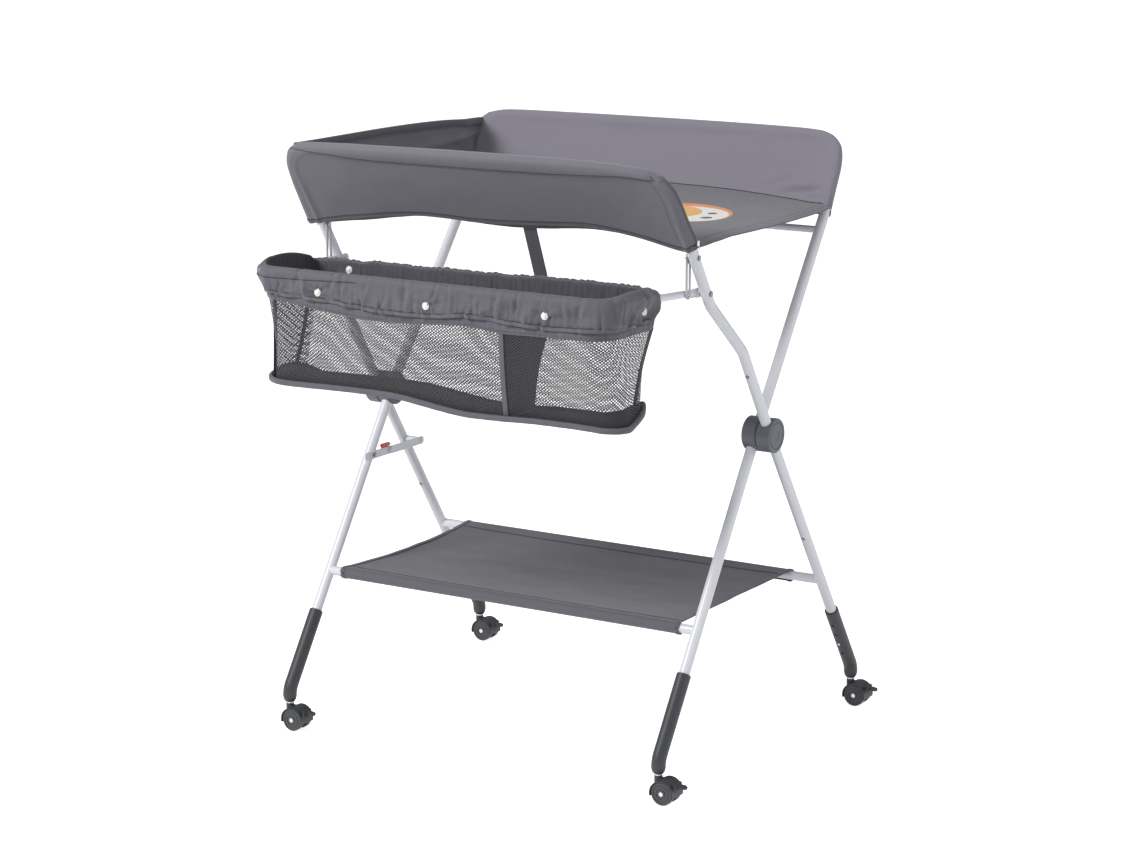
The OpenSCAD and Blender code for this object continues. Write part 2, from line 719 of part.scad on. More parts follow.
module housing() {
  neck_top = foot_bend_z - 21 - 2.5;
  color([0.25, 0.25, 0.27]) difference() {
    union() {
      translate([caster_trail, 0, axle_z]) along_y(-wheel_out - 1.4, wheel_out + 1.4, hood_r);
      cylinder(r = stem_d / 2 + 2.2, h = neck_top);
      translate([0, -stem_d / 2 - 1.6, axle_z]) cube([caster_trail, stem_d + 3.2, neck_top - axle_z - 4]);
      for (s = [-1, 1]) translate([caster_trail + 8, s * 9 - 1.4, axle_z + 4])
        cube([12.6, 2.8, 12]);
      for (s = [-1, 1]) translate([caster_trail + 20, s * 9, axle_z + 15])
        along_y(-1.4, 1.4, 3.1);
    }
    for (s = [-1, 1]) translate([caster_trail, 0, axle_z])
      along_y(min(s * web_half, s * 40), max(s * web_half, s * 40), wheel_r + 0.6);
    translate([-60, -60, -30]) cube([120, 120, axle_z - axle_d / 2 - 2.6 + 30]);
    translate([caster_trail, 0, axle_z]) along_y(-30, 30, axle_d / 2);
    translate([0, 0, axle_z + 1]) cylinder(r = stem_d / 2, h = 40);
    translate([caster_trail + 20, 0, axle_z + 15]) along_y(-20, 20, 1.58);
  }
}

module stem_axle() {
  color([0.72, 0.72, 0.74]) union() {
    translate([0, 0, axle_z + 1]) cylinder(d = stem_d, h = foot_bend_z - 3.5 - axle_z - 1);
    translate([0, 0, foot_bend_z - 23.5]) cylinder(r = stem_d / 2 + 1.8, h = 2.45);
    translate([caster_trail, 0, axle_z]) along_y(-wheel_out - 0.9, wheel_out + 0.9, axle_d / 2);
    for (s = [-1, 1]) translate([caster_trail, s * (wheel_out + 0.6), axle_z])
      along_y(-0.5, 0.5, 3.6);
  }
}

module wheels() {
  color([0.23, 0.23, 0.25]) for (s = [-1, 1])
    translate([caster_trail, s * (web_half + 0.5 + wheel_width / 2), axle_z]) difference() {
      union() {
        along_y(-wheel_width / 2 + 1, wheel_width / 2 - 1, wheel_r);
        along_y(-wheel_width / 2, wheel_width / 2, wheel_r - 1);
      }
      along_y(-20, 20, axle_d / 2 + 0.06);
      translate([0, s * wheel_width / 2, 0]) difference() {
        along_y(-0.9, 0.9, wheel_r - 4);
        along_y(-2, 2, wheel_r - 6.5);
      }
      translate([0, s * wheel_width / 2, 0]) difference() {
        along_y(-0.9, 0.9, wheel_r - 9.5);
        along_y(-2, 2, wheel_r - 12.5);
      }
    }
}

module brake() {
  color([0.25, 0.25, 0.27]) translate([caster_trail + 20, 0, axle_z + 15]) union() {
    along_y(-7, 7, 2.9);
    along_y(-10.2, 10.2, 1.5);
    rotate([0, 12, 0]) translate([0, -6.2, -1.2]) cube([10, 12.4, 2.4]);
    rotate([0, 12, 0]) translate([11, 0, -1.4]) cylinder(r = 7.2, h = 2.8);
  }
}

module housing_front_left() { at_foot(-1, true) housing(); }
module housing_front_right() { at_foot(1, true) housing(); }
module housing_rear_left() { at_foot(-1, false) housing(); }
module housing_rear_right() { at_foot(1, false) housing(); }
module stem_axle_front_left() { at_foot(-1, true) stem_axle(); }
module stem_axle_front_right() { at_foot(1, true) stem_axle(); }
module stem_axle_rear_left() { at_foot(-1, false) stem_axle(); }
module stem_axle_rear_right() { at_foot(1, false) stem_axle(); }
module wheels_front_left() { at_foot(-1, true) wheels(); }
module wheels_front_right() { at_foot(1, true) wheels(); }
module wheels_rear_left() { at_foot(-1, false) wheels(); }
module wheels_rear_right() { at_foot(1, false) wheels(); }
module brake_front_left() { at_foot(-1, true) brake(); }
module brake_front_right() { at_foot(1, true) brake(); }
module brake_rear_left() { at_foot(-1, false) brake(); }
module brake_rear_right() { at_foot(1, false) brake(); }

// ---- basket ----

module basket_frame() {
  r = arm_d / 2;
  slope = arm_slope;
  pr = [arm_x, arm_pivot_y, arm_pivot_z] + slope * (eye_d - 3);
  pl = [-arm_x, arm_pivot_y, arm_pivot_z] + slope * (eye_d - 3);
  fr = [arm_x, -arm_front_y, arm_front_z];
  fl = [-arm_x, -arm_front_y, arm_front_z];
  placed() color([0.93, 0.93, 0.94]) union() {
    bent([pl, fl, fr, pr], [arm_bend, arm_bend], r, r - 1.2);
    pair() arm_eye(slope);
    pair() rod([arm_x + 2, link_y, pin_z], [inner_side - 0.4, link_y, pin_z], 1.6);
  }
}

// Flattened end of an arm, pierced for its rivet
module arm_eye(slope) {
  x0 = inner_side - 8;
  p = [0, arm_pivot_y, arm_pivot_z];
  difference() {
    union() {
      rod([x0, p[1], p[2]], [x0 + 3, p[1], p[2]], eye_d / 2);
      multmatrix([[1, 0, 0, x0], [0, slope[1], -slope[2], p[1]], [0, slope[2], slope[1], p[2]]])
        translate([0.1, 0, 1 - eye_d / 2]) cube([2.8, eye_d + 3, eye_d - 2]);
      rod([x0 + 3, p[1], p[2]], [inner_side - 0.3, p[1], p[2]], 6);
    }
    rod([x0 - 9, p[1], p[2]], [x0 + 20, p[1], p[2]], 3.08);
  }
}

module band_ring(half, front, back, z0, h, r) {
  translate([0, 0, z0]) linear_extrude(h) {
    translate([-half + r, -front]) square([2 * half - 2 * r, front - back]);
    translate([-half, -front + r]) square([2 * half, front - back - 2 * r]);
    for (sx = [-1, 1]) for (y = [-front + r, -back - r])
      translate([sx * (half - r), y]) circle(r = r);
  }
}

module basket_band() {
  z0 = band_top - band_height;
  in = band_inset;
  slope = arm_slope;
  placed() color([0.38, 0.37, 0.4]) difference() {
    band_ring(band_half, band_front, band_back, z0, band_height, 40);
    band_ring(band_half - in, band_front - in, band_back + in, z0 - 1, band_height + 2, 24);
    difference() {
      band_ring(band_half - skin, band_front - skin, band_back + skin, z0 - 1,
        band_height + 1 - skin, 38);
      band_ring(band_half - in + skin, band_front - in + skin, band_back + in - skin, z0 - 2,
        band_height + 4, 26);
    }
    pair() rod([arm_x, arm_pivot_y, arm_pivot_z], [arm_x, arm_pivot_y, arm_pivot_z] + slope * 180,
      arm_d / 2 + 0.3);
  }
}

module basket_net() {
  z0 = base_z + base_thickness;
  t = net_thickness;
  placed() color([0.3, 0.3, 0.32]) difference() {
    band_ring(wall_half, wall_front, wall_back, z0, band_top - 55 - z0, 26 + t);
    band_ring(wall_half - t, wall_front - t, wall_back + t, z0 - 1, band_top, 26);
  }
}

module basket_base() {
  placed() color([0.38, 0.37, 0.4]) union() {
    band_ring(wall_half + 4, wall_front + 4, wall_back - 4, base_z + 1, base_thickness - 2, 34);
    band_ring(wall_half + 2, wall_front + 2, wall_back - 2, base_z, base_thickness, 32);
  }
}

module basket_divider() {
  placed() color([0.3, 0.3, 0.32])
    translate([divider_x, -wall_front + net_thickness, base_z + base_thickness])
      cube([2, wall_front - wall_back - 2 * net_thickness, band_top - band_height - base_z - base_thickness - 7]);
}

module basket_snaps() {
  z = band_top - snap_drop;
  placed() color([0.88, 0.88, 0.86]) union() {
    for (x = [-1, 0, 1]) dome([x * snap_pitch, -band_front, z], [0, -1, 0], 4.6, 2, 0);
    dome([band_half, -band_back - 35, z], [1, 0, 0], 4.6, 2, 0);
    dome([47 - band_half, -band_back - band_inset, z + 12], [0, -1, 0], 4.6, 2, 0);
  }
}

module link_shape() {
  x0 = inner_side - 2.3;
  low_z = pin_z - 0.5;
  difference() {
    union() {
      rod([x0, link_y, link_pivot_z], [x0 + 2, link_y, link_pivot_z], link_width / 2);
      rod([x0, link_y, low_z], [x0 + 2, link_y, low_z], link_width / 2);
      translate([x0, link_y - link_width / 2 + 0.2, low_z])
        cube([2, link_width - 0.4, link_pivot_z - low_z]);
    }
    rod([x0 - 1, link_y, link_pivot_z], [x0 + 3, link_y, link_pivot_z], 2.58);
    translate([x0 - 1, link_y - 3, low_z]) cube([4, 6, link_pivot_z - low_z - 12]);
    rod([x0 - 1, link_y, link_pivot_z - 12], [x0 + 3, link_y, link_pivot_z - 12], 2.9);
    rod([x0 - 1, link_y, low_z], [x0 + 3, link_y, low_z], 2.9);
  }
}

module basket_links() {
  placed() color([0.8, 0.8, 0.82]) pair() link_shape();
}

// ---- fold lock ----

module lock_link_front() {
  w = lock_width / 2;
  x0 = lock_x;
  placed() color([0.93, 0.93, 0.94]) difference() {
    union() {
      translate([x0, lock_front_y - 20, lock_z - w + 0.2])
        cube([2, knee_y - lock_front_y + 20, 2 * w - 0.4]);
      rod([x0, knee_y, lock_z], [x0 + 2, knee_y, lock_z], w);
      rod([x0, lock_front_y - 20, lock_z], [x0 + 2, lock_front_y - 20, lock_z], w);
    }
    rod([x0 - 1, lock_front_y, lock_z], [x0 + 3, lock_front_y, lock_z], 2.96);
  }
}

module lock_link_rear() {
  w = lock_width / 2;
  x0 = lock_x + 2.2;
  reach = outer_x - leg_r - 0.2;
  placed() color([0.93, 0.93, 0.94]) union() {
    translate([x0, knee_y, lock_z - w + 0.2]) cube([2, lock_rear_y - knee_y, 2 * w - 0.4]);
    rod([x0, knee_y, lock_z], [x0 + 2, knee_y, lock_z], w);
    rod([x0, lock_rear_y, lock_z], [x0 + 2, lock_rear_y, lock_z], w);
    rod([-reach, lock_rear_y, lock_z], [x0 + 3.4, lock_rear_y, lock_z], 5);
    rod([x0 + 1, knee_y, lock_z], [x0 + 3.4, knee_y, lock_z], 4.5);
  }
}

module lock_release() {
  y = lock_front_y + 20;
  reach = knee_y - y - 8;
  z = lock_z + lock_width / 2;
  heel = y + reach - 6;
  placed() color([0.75, 0.13, 0.12]) union() {
    translate([lock_x + 0.1, y, z + 3]) cube([6.1, reach, 5]);
    translate([lock_x + 0.1, y + 2, z]) cube([1.8, heel - y - 2, 4]);
    rod([lock_x + 0.4, heel, z + 2], [lock_x + 5.9, heel, z + 2], 1.7);
  }
}

outer_centre_tubes();
front_upper_tube_left();
front_upper_tube_right();
rear_lower_tubes();
outer_hubs();
front_rim_tube();
rear_shelf_tube();
outer_fasteners();
rear_height_buttons();
hub_bolts();
changing_sling();
front_panel();
end_panel();
support_strap();
shelf_sling();
inner_centre_tubes();
rear_upper_tube_left();
rear_upper_tube_right();
front_lower_tubes();
inner_hubs();
rear_rim_tube();
hanging_bar();
front_shelf_tube();
inner_fasteners();
front_height_buttons();
rear_panel();
foot_front_left();
foot_front_right();
foot_rear_left();
foot_rear_right();
housing_front_left();
housing_front_right();
housing_rear_left();
housing_rear_right();
stem_axle_front_left();
stem_axle_front_right();
stem_axle_rear_left();
stem_axle_rear_right();
wheels_front_left();
wheels_front_right();
wheels_rear_left();
wheels_rear_right();
brake_front_left();
brake_front_right();
brake_rear_left();
brake_rear_right();
basket_frame();
basket_band();
basket_net();
basket_base();
basket_divider();
basket_snaps();
basket_links();
lock_link_front();
lock_link_rear();
lock_release();
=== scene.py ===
"""Looks of a folding changing table: cloth, net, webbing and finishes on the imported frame.

Lengths are centimetres about the plane of the hubs unless a name says otherwise; world() turns
them into metres in the frame.
"""

import logging
import math
from dataclasses import dataclass
from enum import Enum
from functools import lru_cache
from typing import Optional, Sequence

import bpy
import numpy as np
from mathutils import Matrix, Vector, noise

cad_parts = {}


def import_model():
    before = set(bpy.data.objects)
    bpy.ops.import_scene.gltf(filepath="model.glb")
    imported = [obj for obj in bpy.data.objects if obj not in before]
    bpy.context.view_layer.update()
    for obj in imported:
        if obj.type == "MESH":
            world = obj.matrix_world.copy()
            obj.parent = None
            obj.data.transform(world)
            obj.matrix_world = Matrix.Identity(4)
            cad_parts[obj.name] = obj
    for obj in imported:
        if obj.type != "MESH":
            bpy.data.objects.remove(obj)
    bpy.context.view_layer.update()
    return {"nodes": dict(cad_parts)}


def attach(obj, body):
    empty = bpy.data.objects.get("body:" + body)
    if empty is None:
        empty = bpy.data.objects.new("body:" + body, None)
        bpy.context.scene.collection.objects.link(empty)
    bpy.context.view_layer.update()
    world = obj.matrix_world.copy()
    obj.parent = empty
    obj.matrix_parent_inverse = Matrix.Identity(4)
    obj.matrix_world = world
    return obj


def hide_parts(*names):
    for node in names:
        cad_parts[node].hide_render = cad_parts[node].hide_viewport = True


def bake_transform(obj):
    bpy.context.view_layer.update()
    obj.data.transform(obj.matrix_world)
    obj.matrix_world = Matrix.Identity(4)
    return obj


LOG = logging.getLogger("changing_table")
Points = np.ndarray
Pairs = Sequence[tuple[float, float]]
Place = tuple[float, float, float]
Color = tuple[float, float, float]
Piece = bpy.types.Object
Socket = bpy.types.NodeSocket

HUB_SHIFT = np.array((-0.015, 0.049, 0.0))  # where the hub plane's origin lies in the frame, in metres
UP = np.array((0.0, 0.0, 1.0))
TUBE_RADIUS = 0.9
CLOTH_RADIUS = 1.02  # of the cloth where it turns round a rim tube


# ---------------------------------------------------------------- finishes


MIX_FIRST, MIX_SECOND, MIX_RESULT = 6, 7, 2  # the colour sockets of a Mix node


class Shader:
    """Wires the nodes of one material."""

    def __init__(self, name: str) -> None:
        """Starts a material that holds one Principled shader.

        Args:
            name: the material's name.
        """
        self.material = bpy.data.materials.new(name)
        self.material.use_nodes = True
        self.tree = self.material.node_tree
        self.tree.nodes.clear()
        self.output = self.add("ShaderNodeOutputMaterial")
        self.skin = self.add("ShaderNodeBsdfPrincipled")
        self.join(self.skin.outputs[0], self.output.inputs["Surface"])

    def add(self, kind: str, values: Optional[dict] = None, **settings: object) -> bpy.types.Node:
        """Adds a node.

        Args:
            kind: the node's type name.
            values: defaults for its sockets, by name or number.
            settings: properties of the node itself.

        Returns:
            The new node.
        """
        node = self.tree.nodes.new(kind)
        for key, value in settings.items():
            setattr(node, key, value)
        for key, value in (values or {}).items():
            node.inputs[key].default_value = value
        return node

    def join(self, start: Socket, end: Socket) -> None:
        """Links one socket to another."""
        self.tree.links.new(start, end)

    def feed(self, socket: Socket, value: object) -> None:
        """Links an input to the socket that feeds it, or sets it to a plain value.

        Args:
            socket: the input.
            value: the socket or the value.
        """
        if isinstance(value, Socket):
            self.join(value, socket)
        else:
            socket.default_value = value

    def math(self, operation: str, first: object, second: object = 0.0) -> Socket:
        """Adds a math node.

        Args:
            operation: the node's own name for what it works out.
            first: a socket or a number.
            second: a socket or a number.

        Returns:
            The result's socket.
        """
        node = self.add("ShaderNodeMath", operation=operation)
        self.feed(node.inputs[0], first)
        self.feed(node.inputs[1], second)
        return node.outputs[0]

    def squared(self, value: Socket, centre: float) -> Socket:
        """Returns the square of a value's distance from a centre."""
        off = self.math("ABSOLUTE", self.math("SUBTRACT", value, centre))
        return self.math("POWER", off, 2.0)

    def coordinates(self, source: str) -> Socket:
        """Returns texture coordinates of the named kind."""
        return self.add("ShaderNodeTexCoord").outputs[source]

    def axes(self, source: str) -> Sequence[Socket]:
        """Splits texture coordinates.

        Args:
            source: the kind of coordinates.

        Returns:
            Their X, Y and Z.
        """
        node = self.add("ShaderNodeSeparateXYZ")
        self.join(self.coordinates(source), node.inputs[0])
        return node.outputs

    def noise(self, where: Socket, scale: float, detail: float = 3.0) -> Socket:
        """Adds a noise pattern.

        Args:
            where: the coordinates that it is read at.
            scale: its cells to the metre.
            detail: how many finer layers it has.

        Returns:
            The noise value's socket.
        """
        node = self.add("ShaderNodeTexNoise", {"Scale": scale, "Detail": detail})
        self.join(where, node.inputs["Vector"])
        return node.outputs[0]

    def mix(self, amount: Socket, first: object, second: object) -> Socket:
        """Mixes two colours.

        Args:
            amount: 0 for the first colour and 1 for the second.
            first: a colour or its socket.
            second: a colour or its socket.

        Returns:
            The mixed colour's socket.
        """
        node = self.add("ShaderNodeMix", data_type="RGBA")
        self.join(amount, node.inputs[0])
        for number, value in ((MIX_FIRST, first), (MIX_SECOND, second)):
            self.feed(node.inputs[number], value if isinstance(value, Socket) else (*value, 1))
        return node.outputs[MIX_RESULT]

    def relief(self, height: Socket, depth: float, strength: float, under: Optional[Socket] = None) -> Socket:
        """Adds a relief.

        Args:
            height: the height pattern.
            depth: metres of relief for a height of one.
            strength: how much of it shows.
            under: a normal that this relief is added to.

        Returns:
            The bumped normal's socket.
        """
        node = self.add("ShaderNodeBump", {"Distance": depth, "Strength": strength})
        self.join(height, node.inputs["Height"])
        if under is not None:
            self.join(under, node.inputs["Normal"])
        return node.outputs[0]

    def dress(self, color: Socket, normal: Socket, values: dict[str, float]) -> None:
        """Gives the Principled shader its colour, its relief and its plain values.

        Args:
            color: the colour's socket.
            normal: the relief's socket.
            values: numbers for its other sockets, by name.
        """
        self.join(color, self.skin.inputs["Base Color"])
        self.join(normal, self.skin.inputs["Normal"])
        for key, value in values.items():
            self.skin.inputs[key].default_value = value


@dataclass(frozen=True)
class Finish:
    """One named finish in one colour."""

    name: str
    color: Color

    @lru_cache(maxsize=None)
    def material(self) -> bpy.types.Material:
        """Builds the finish's material, once.

        Returns:
            The material.
        """
        shader = Shader(self.name)
        self.wire(shader)
        return shader.material

    def wire(self, shader: Shader) -> None:
        """Wires the nodes; each kind of finish does it its own way."""
        raise NotImplementedError

    def shade(self, factor: float) -> Color:
        """Returns the colour made lighter or darker by a factor."""
        return tuple(min(1.0, channel * factor) for channel in self.color)

    def tone(self, shader: Shader, pattern: Socket, dark: float, light: float) -> Socket:
        """Returns the colour, shaded between two factors by a pattern."""
        return shader.mix(pattern, self.shade(dark), self.shade(light))


@dataclass(frozen=True)
class Woven(Finish):
    """Plain-woven polyester with fine yarns, soft creases and a slight sheen."""

    yarn_mm: float = 0.5
    crease_mm: float = 1.0
    crease_scale: float = 14.0
    roughness: float = 0.72
    sheen: float = 0.25

    def weave(self, shader: Shader) -> Socket:
        """Draws the weave from the sheet's own flat coordinates.

        Args:
            shader: the material's nodes.

        Returns:
            The height of the weave.
        """
        turns = 2 * math.pi / (2 * self.yarn_mm / 1000)
        across, along, _ = shader.axes("UV")
        waves = [shader.math("SINE", shader.math("MULTIPLY", axis, turns)) for axis in (across, along)]
        return shader.math("MULTIPLY", *waves)

    def paint(self, shader: Shader) -> Socket:
        """Returns the cloth's colour with its yarn and dye variation."""
        spots = shader.noise(shader.coordinates("Object"), 900.0, 2.0)
        return self.tone(shader, spots, 0.86, 1.14)

    def wire(self, shader: Shader) -> None:
        """Wires the cloth: its colour, and the weave over soft creases.

        Args:
            shader: the material's nodes.
        """
        crease = shader.noise(shader.coordinates("Object"), self.crease_scale, 4.0)
        soft = shader.relief(crease, self.crease_mm / 1000 * 4, 0.5)
        woven = shader.relief(self.weave(shader), 0.00012, 0.5, soft)
        shader.dress(self.paint(shader), woven, {"Roughness": self.roughness, "Specular IOR Level": 0.35,
                                                 "Sheen Weight": self.sheen, "Sheen Roughness": 0.45})


ORANGE_INK, AMBER_INK = (0.78, 0.25, 0.05), (0.78, 0.40, 0.09)
CREAM_INK, DARK_INK = (0.80, 0.78, 0.74), (0.08, 0.06, 0.06)


@dataclass(frozen=True)
class Printed(Woven):
    """The woven cloth with a plain print of crescents and dots on the lying surface."""

    centre: tuple[float, float] = (0.166, 0.103)
    ring: float = 0.092

    def paint(self, shader: Shader) -> Socket:
        """Lays the print over the cloth's colour: round spots, one over the other.

        Args:
            shader: the material's nodes.

        Returns:
            The printed colour.
        """
        spots = ((0.0, 0.0, self.ring, ORANGE_INK), (0.012, -0.004, self.ring * 0.84, CREAM_INK),
                 (-0.022, 0.012, self.ring * 0.60, AMBER_INK), (-0.034, 0.002, self.ring * 0.40, CREAM_INK),
                 (0.062, -0.012, 0.010, DARK_INK), (0.050, 0.030, 0.008, DARK_INK),
                 (-0.150, -0.04, 0.022, CREAM_INK), (-0.135, 0.06, 0.016, ORANGE_INK))
        color = Woven.paint(self, shader)
        across, along, _ = shader.axes("Object")
        dx, dy = (shader.math("SUBTRACT", axis, middle) for axis, middle in zip((across, along), self.centre))
        for x, y, radius, ink in spots:
            off = shader.math("ADD", shader.squared(dx, x), shader.squared(dy, y))
            color = shader.mix(shader.math("LESS_THAN", off, radius * radius), color, ink)
        return color


@dataclass(frozen=True)
class Webbing(Finish):
    """Herringbone webbing of thick yarn."""

    chevron: float = 0.005
    rib: float = 0.0024

    def wire(self, shader: Shader) -> None:
        """Wires the webbing: slanting ribs that turn back at each chevron.

        Args:
            shader: the material's nodes.
        """
        across, along, _ = shader.axes("UV")
        slant = shader.math("ADD", shader.math("PINGPONG", across, self.chevron), along)
        ribs = shader.math("SINE", shader.math("MULTIPLY", slant, 2 * math.pi / self.rib))
        amount = shader.math("ADD", shader.math("MULTIPLY", ribs, 0.5), 0.5)
        shader.dress(self.tone(shader, amount, 0.5, 2.4), shader.relief(ribs, 0.0004, 0.8), {"Roughness": 0.7})


@dataclass(frozen=True)
class Painted(Finish):
    """Powder coat over steel tube: a faint orange peel under a soft gloss."""

    roughness: float = 0.34

    def wire(self, shader: Shader) -> None:
        """Wires the coat.

        Args:
            shader: the material's nodes.
        """
        where = shader.coordinates("Object")
        color = self.tone(shader, shader.noise(where, 22.0, 2.0), 0.97, 1.02)
        peel = shader.relief(shader.noise(where, 900.0, 2.0), 0.00006, 0.35)
        shader.dress(color, peel, {"Roughness": self.roughness, "Coat Weight": 0.15, "Coat Roughness": 0.2})


@dataclass(frozen=True)
class Moulded(Finish):
    """Moulded plastic with a fine spark-eroded grain and rubbed high spots."""

    roughness: float = 0.5
    grain: float = 0.5

    def wire(self, shader: Shader) -> None:
        """Wires the plastic.

        Args:
            shader: the material's nodes.
        """
        where = shader.coordinates("Object")
        color = self.tone(shader, shader.noise(where, 60.0, 4.0), 0.9, 1.12)
        sparks = shader.relief(shader.noise(where, 1800.0, 2.0), 0.0001, self.grain)
        shader.dress(color, sparks, {"Roughness": self.roughness})


@dataclass(frozen=True)
class Plated(Finish):
    """Zinc-plated steel with a fine drawn grain."""

    roughness: float = 0.32

    def wire(self, shader: Shader) -> None:
        """Wires the plating.

        Args:
            shader: the material's nodes.
        """
        drawn = shader.noise(shader.coordinates("Object"), 300.0, 3.0)
        shader.dress(self.tone(shader, drawn, 0.88, 1.05), shader.relief(drawn, 0.00005, 0.4),
                     {"Metallic": 1.0, "Roughness": self.roughness})


CLOTH = Woven("grey_cloth", (0.150, 0.143, 0.166))
# The lying surface: the grey cloth with its print, its ground painted a little darker than the grey cloth as
# painted shade on the upward face.
SURFACE_CLOTH_PAINTED_SHADE = Printed("printed_cloth_painted_shade", (0.137, 0.129, 0.150), crease_mm=1.4)
# The rear panel's inner skin: the grey cloth painted about 1.4 times lighter, as painted light where that panel
# faces the lamps.
REAR_CLOTH_PAINTED_LIGHT = Woven("rear_panel_cloth_painted_light", (0.215, 0.203, 0.240))
SHELF_CLOTH = Woven("shelf_cloth", (0.116, 0.110, 0.126))
# A darker copy of the basket cloth, as painted shade: it goes inside the sleeve, where the same cloth lies in
# shade.
BASKET_PAINTED_SHADE_CLOTH = Woven("basket_painted_shade_cloth", (0.062, 0.057, 0.068), crease_mm=1.6, crease_scale=30.0)
BASKET_CLOTH = Woven("basket_cloth", (0.106, 0.100, 0.118), crease_mm=1.6, crease_scale=30.0, roughness=0.62)
BINDING = Woven("binding_tape", (0.105, 0.100, 0.114), yarn_mm=0.8, crease_mm=0.3)
NET = Woven("net_thread", (0.040, 0.038, 0.044), crease_mm=0.1)
DARK_CLOTH = Woven("dark_lining", (0.030, 0.030, 0.036), crease_mm=0.8)
THREAD = Woven("sewing_thread", (0.034, 0.033, 0.038), crease_mm=0.0)
WEBBING = Webbing("dark_webbing", (0.050, 0.050, 0.055))
WHITE_TUBE = Painted("white_powder_coat", (0.68, 0.69, 0.72))
LINK_GREY = Painted("link_grey", (0.42, 0.42, 0.45))
GREY_PLASTIC = Moulded("dark_grey_plastic", (0.036, 0.037, 0.042))
HUB_PLASTIC = Moulded("hub_plastic", (0.104, 0.108, 0.126))
TYRE_PLASTIC = Moulded("wheel_plastic", (0.050, 0.051, 0.056), roughness=0.42)
STEEL = Plated("zinc_plated_steel", (0.62, 0.62, 0.64))
DARK_STEEL = Plated("fastener_steel", (0.30, 0.30, 0.31))
SNAP = Moulded("snap_cap", (0.78, 0.77, 0.73), roughness=0.2, grain=0.1)
RED_PLASTIC = Moulded("red_release", (0.55, 0.035, 0.03), roughness=0.3)


# ---------------------------------------------------------------- mesh helpers

CURVE_STEPS = 24  # between two given points of a curve
NOISE_REACH = 1.6  # stretches the noise so that it reaches from about -1 to 1
STITCH_CORNERS = ((-1, 0, 0), (-0.6, 1, 0.3), (-0.6, -1, 0.3), (-0.4, 0, 1), (1, 0, 0), (0.6, 1, 0.3),
                  (0.6, -1, 0.3), (0.4, 0, 1))
STITCH_FACES = ((0, 1, 3), (0, 3, 2), (4, 7, 5), (4, 6, 7), (1, 5, 7, 3), (3, 7, 6, 2))
LEAST_FILL = 0.3  # the smallest share of its flat cut that a sheet's cloth may cover


def world(points: Points) -> Points:
    """Turns centimetres about the hub plane into metres in the frame."""
    return np.asarray(points, float) / 100 + HUB_SHIFT


def lengths(points: Points) -> Points:
    """Returns the running length along a path, starting at zero."""
    steps = np.linalg.norm(np.diff(points, axis=0), axis=1)
    return np.concatenate(([0.0], np.cumsum(steps)))


def unit(vectors: Points) -> Points:
    """Returns the directions of rows of vectors."""
    return vectors / np.linalg.norm(vectors, axis=1)[:, None]


def read_along(at: Points, run: Points, table: Points) -> Points:
    """Reads all columns of a table at places between its rows.

    Args:
        at: the places.
        run: where each row of the table stands, rising.
        table: the rows.

    Returns:
        One row for each place.
    """
    return np.stack([np.interp(at, run, column) for column in table.T], axis=1)


def at_shares(line: Points, shares: Points) -> Points:
    """Returns the points at shares of a line's length."""
    run = lengths(line)
    return read_along(shares, run / run[-1], line)


def at_steps(line: Points, shares: Points) -> Points:
    """Returns the points at shares of the way along a line, by its number of points."""
    return read_along(shares, np.linspace(0, 1, len(line)), line)


def curve(points: Pairs, count: int) -> Points:
    """Runs a smooth curve through a few points.

    Args:
        points: the points, in two or three dimensions.
        count: how many even steps to return.

    Returns:
        Points evenly spaced along the curve.
    """
    p = np.asarray(points, float)
    ends = np.vstack((2 * p[0] - p[1], p, 2 * p[-1] - p[-2]))
    t = np.linspace(0, 1, CURVE_STEPS, endpoint=False)[:, None]
    out = []
    for a, b, c, d in zip(ends, ends[1:], ends[2:], ends[3:]):
        out.append(0.5 * (2 * b + (c - a) * t + (2 * a - 5 * b + 4 * c - d) * t**2
                          + (3 * b - a - 3 * c + d) * t**3))
    dense = np.vstack(out + [p[-1:]])
    run = lengths(dense)
    return read_along(np.linspace(0, run[-1], count), run, dense)


def ease(x: Points, pairs: Pairs) -> Points:
    """Reads a value from a table of pairs with rounded corners between them.

    Args:
        x: where to read it.
        pairs: places and their values.

    Returns:
        The value at each place.
    """
    path = curve(pairs, 200)
    path = path[np.argsort(path[:, 0])]
    return np.interp(x, path[:, 0], path[:, 1])


def ripple(x: Points, y: Points, scale: float, seed: float) -> Points:
    """Returns smooth irregular values from -1 to 1 over flat coordinates."""
    flat = [noise.noise(Vector((a * scale, b * scale, seed))) for a, b in zip(np.ravel(x), np.ravel(y))]
    return np.reshape(flat, np.shape(x)) * NOISE_REACH


def new_object(name: str, points: Points, faces: list[tuple[int, ...]], finish: Finish, body: str,
               flat: Optional[Points] = None) -> Piece:
    """Makes one mesh piece and lets it ride on a body.

    Args:
        name: the piece's name.
        points: vertices in centimetres about the hub plane.
        faces: vertex numbers of each face.
        finish: the finish that dresses it.
        body: the body that it moves with, or nothing for a piece that rides on no body.
        flat: coordinates on the flat cloth for each vertex, in metres.

    Returns:
        The new object.
    """
    mesh = bpy.data.meshes.new(name)
    mesh.from_pydata(world(points.reshape(-1, 3)).tolist(), [], faces)
    mesh.update()
    mesh.polygons.foreach_set("use_smooth", [True] * len(mesh.polygons))
    layer = mesh.uv_layers.new(name="flat")
    if flat is None:
        flat = points.reshape(-1, 3)[:, :2] / 100
    loops = np.zeros(len(mesh.loops), int)
    mesh.loops.foreach_get("vertex_index", loops)
    layer.data.foreach_set("uv", np.asarray(flat, float)[loops].ravel())
    mesh.materials.append(finish.material())
    piece = bpy.data.objects.new(name, mesh)
    bpy.context.scene.collection.objects.link(piece)
    if body:
        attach(piece, body)
    LOG.info("%s: %d faces", name, len(faces))
    return piece


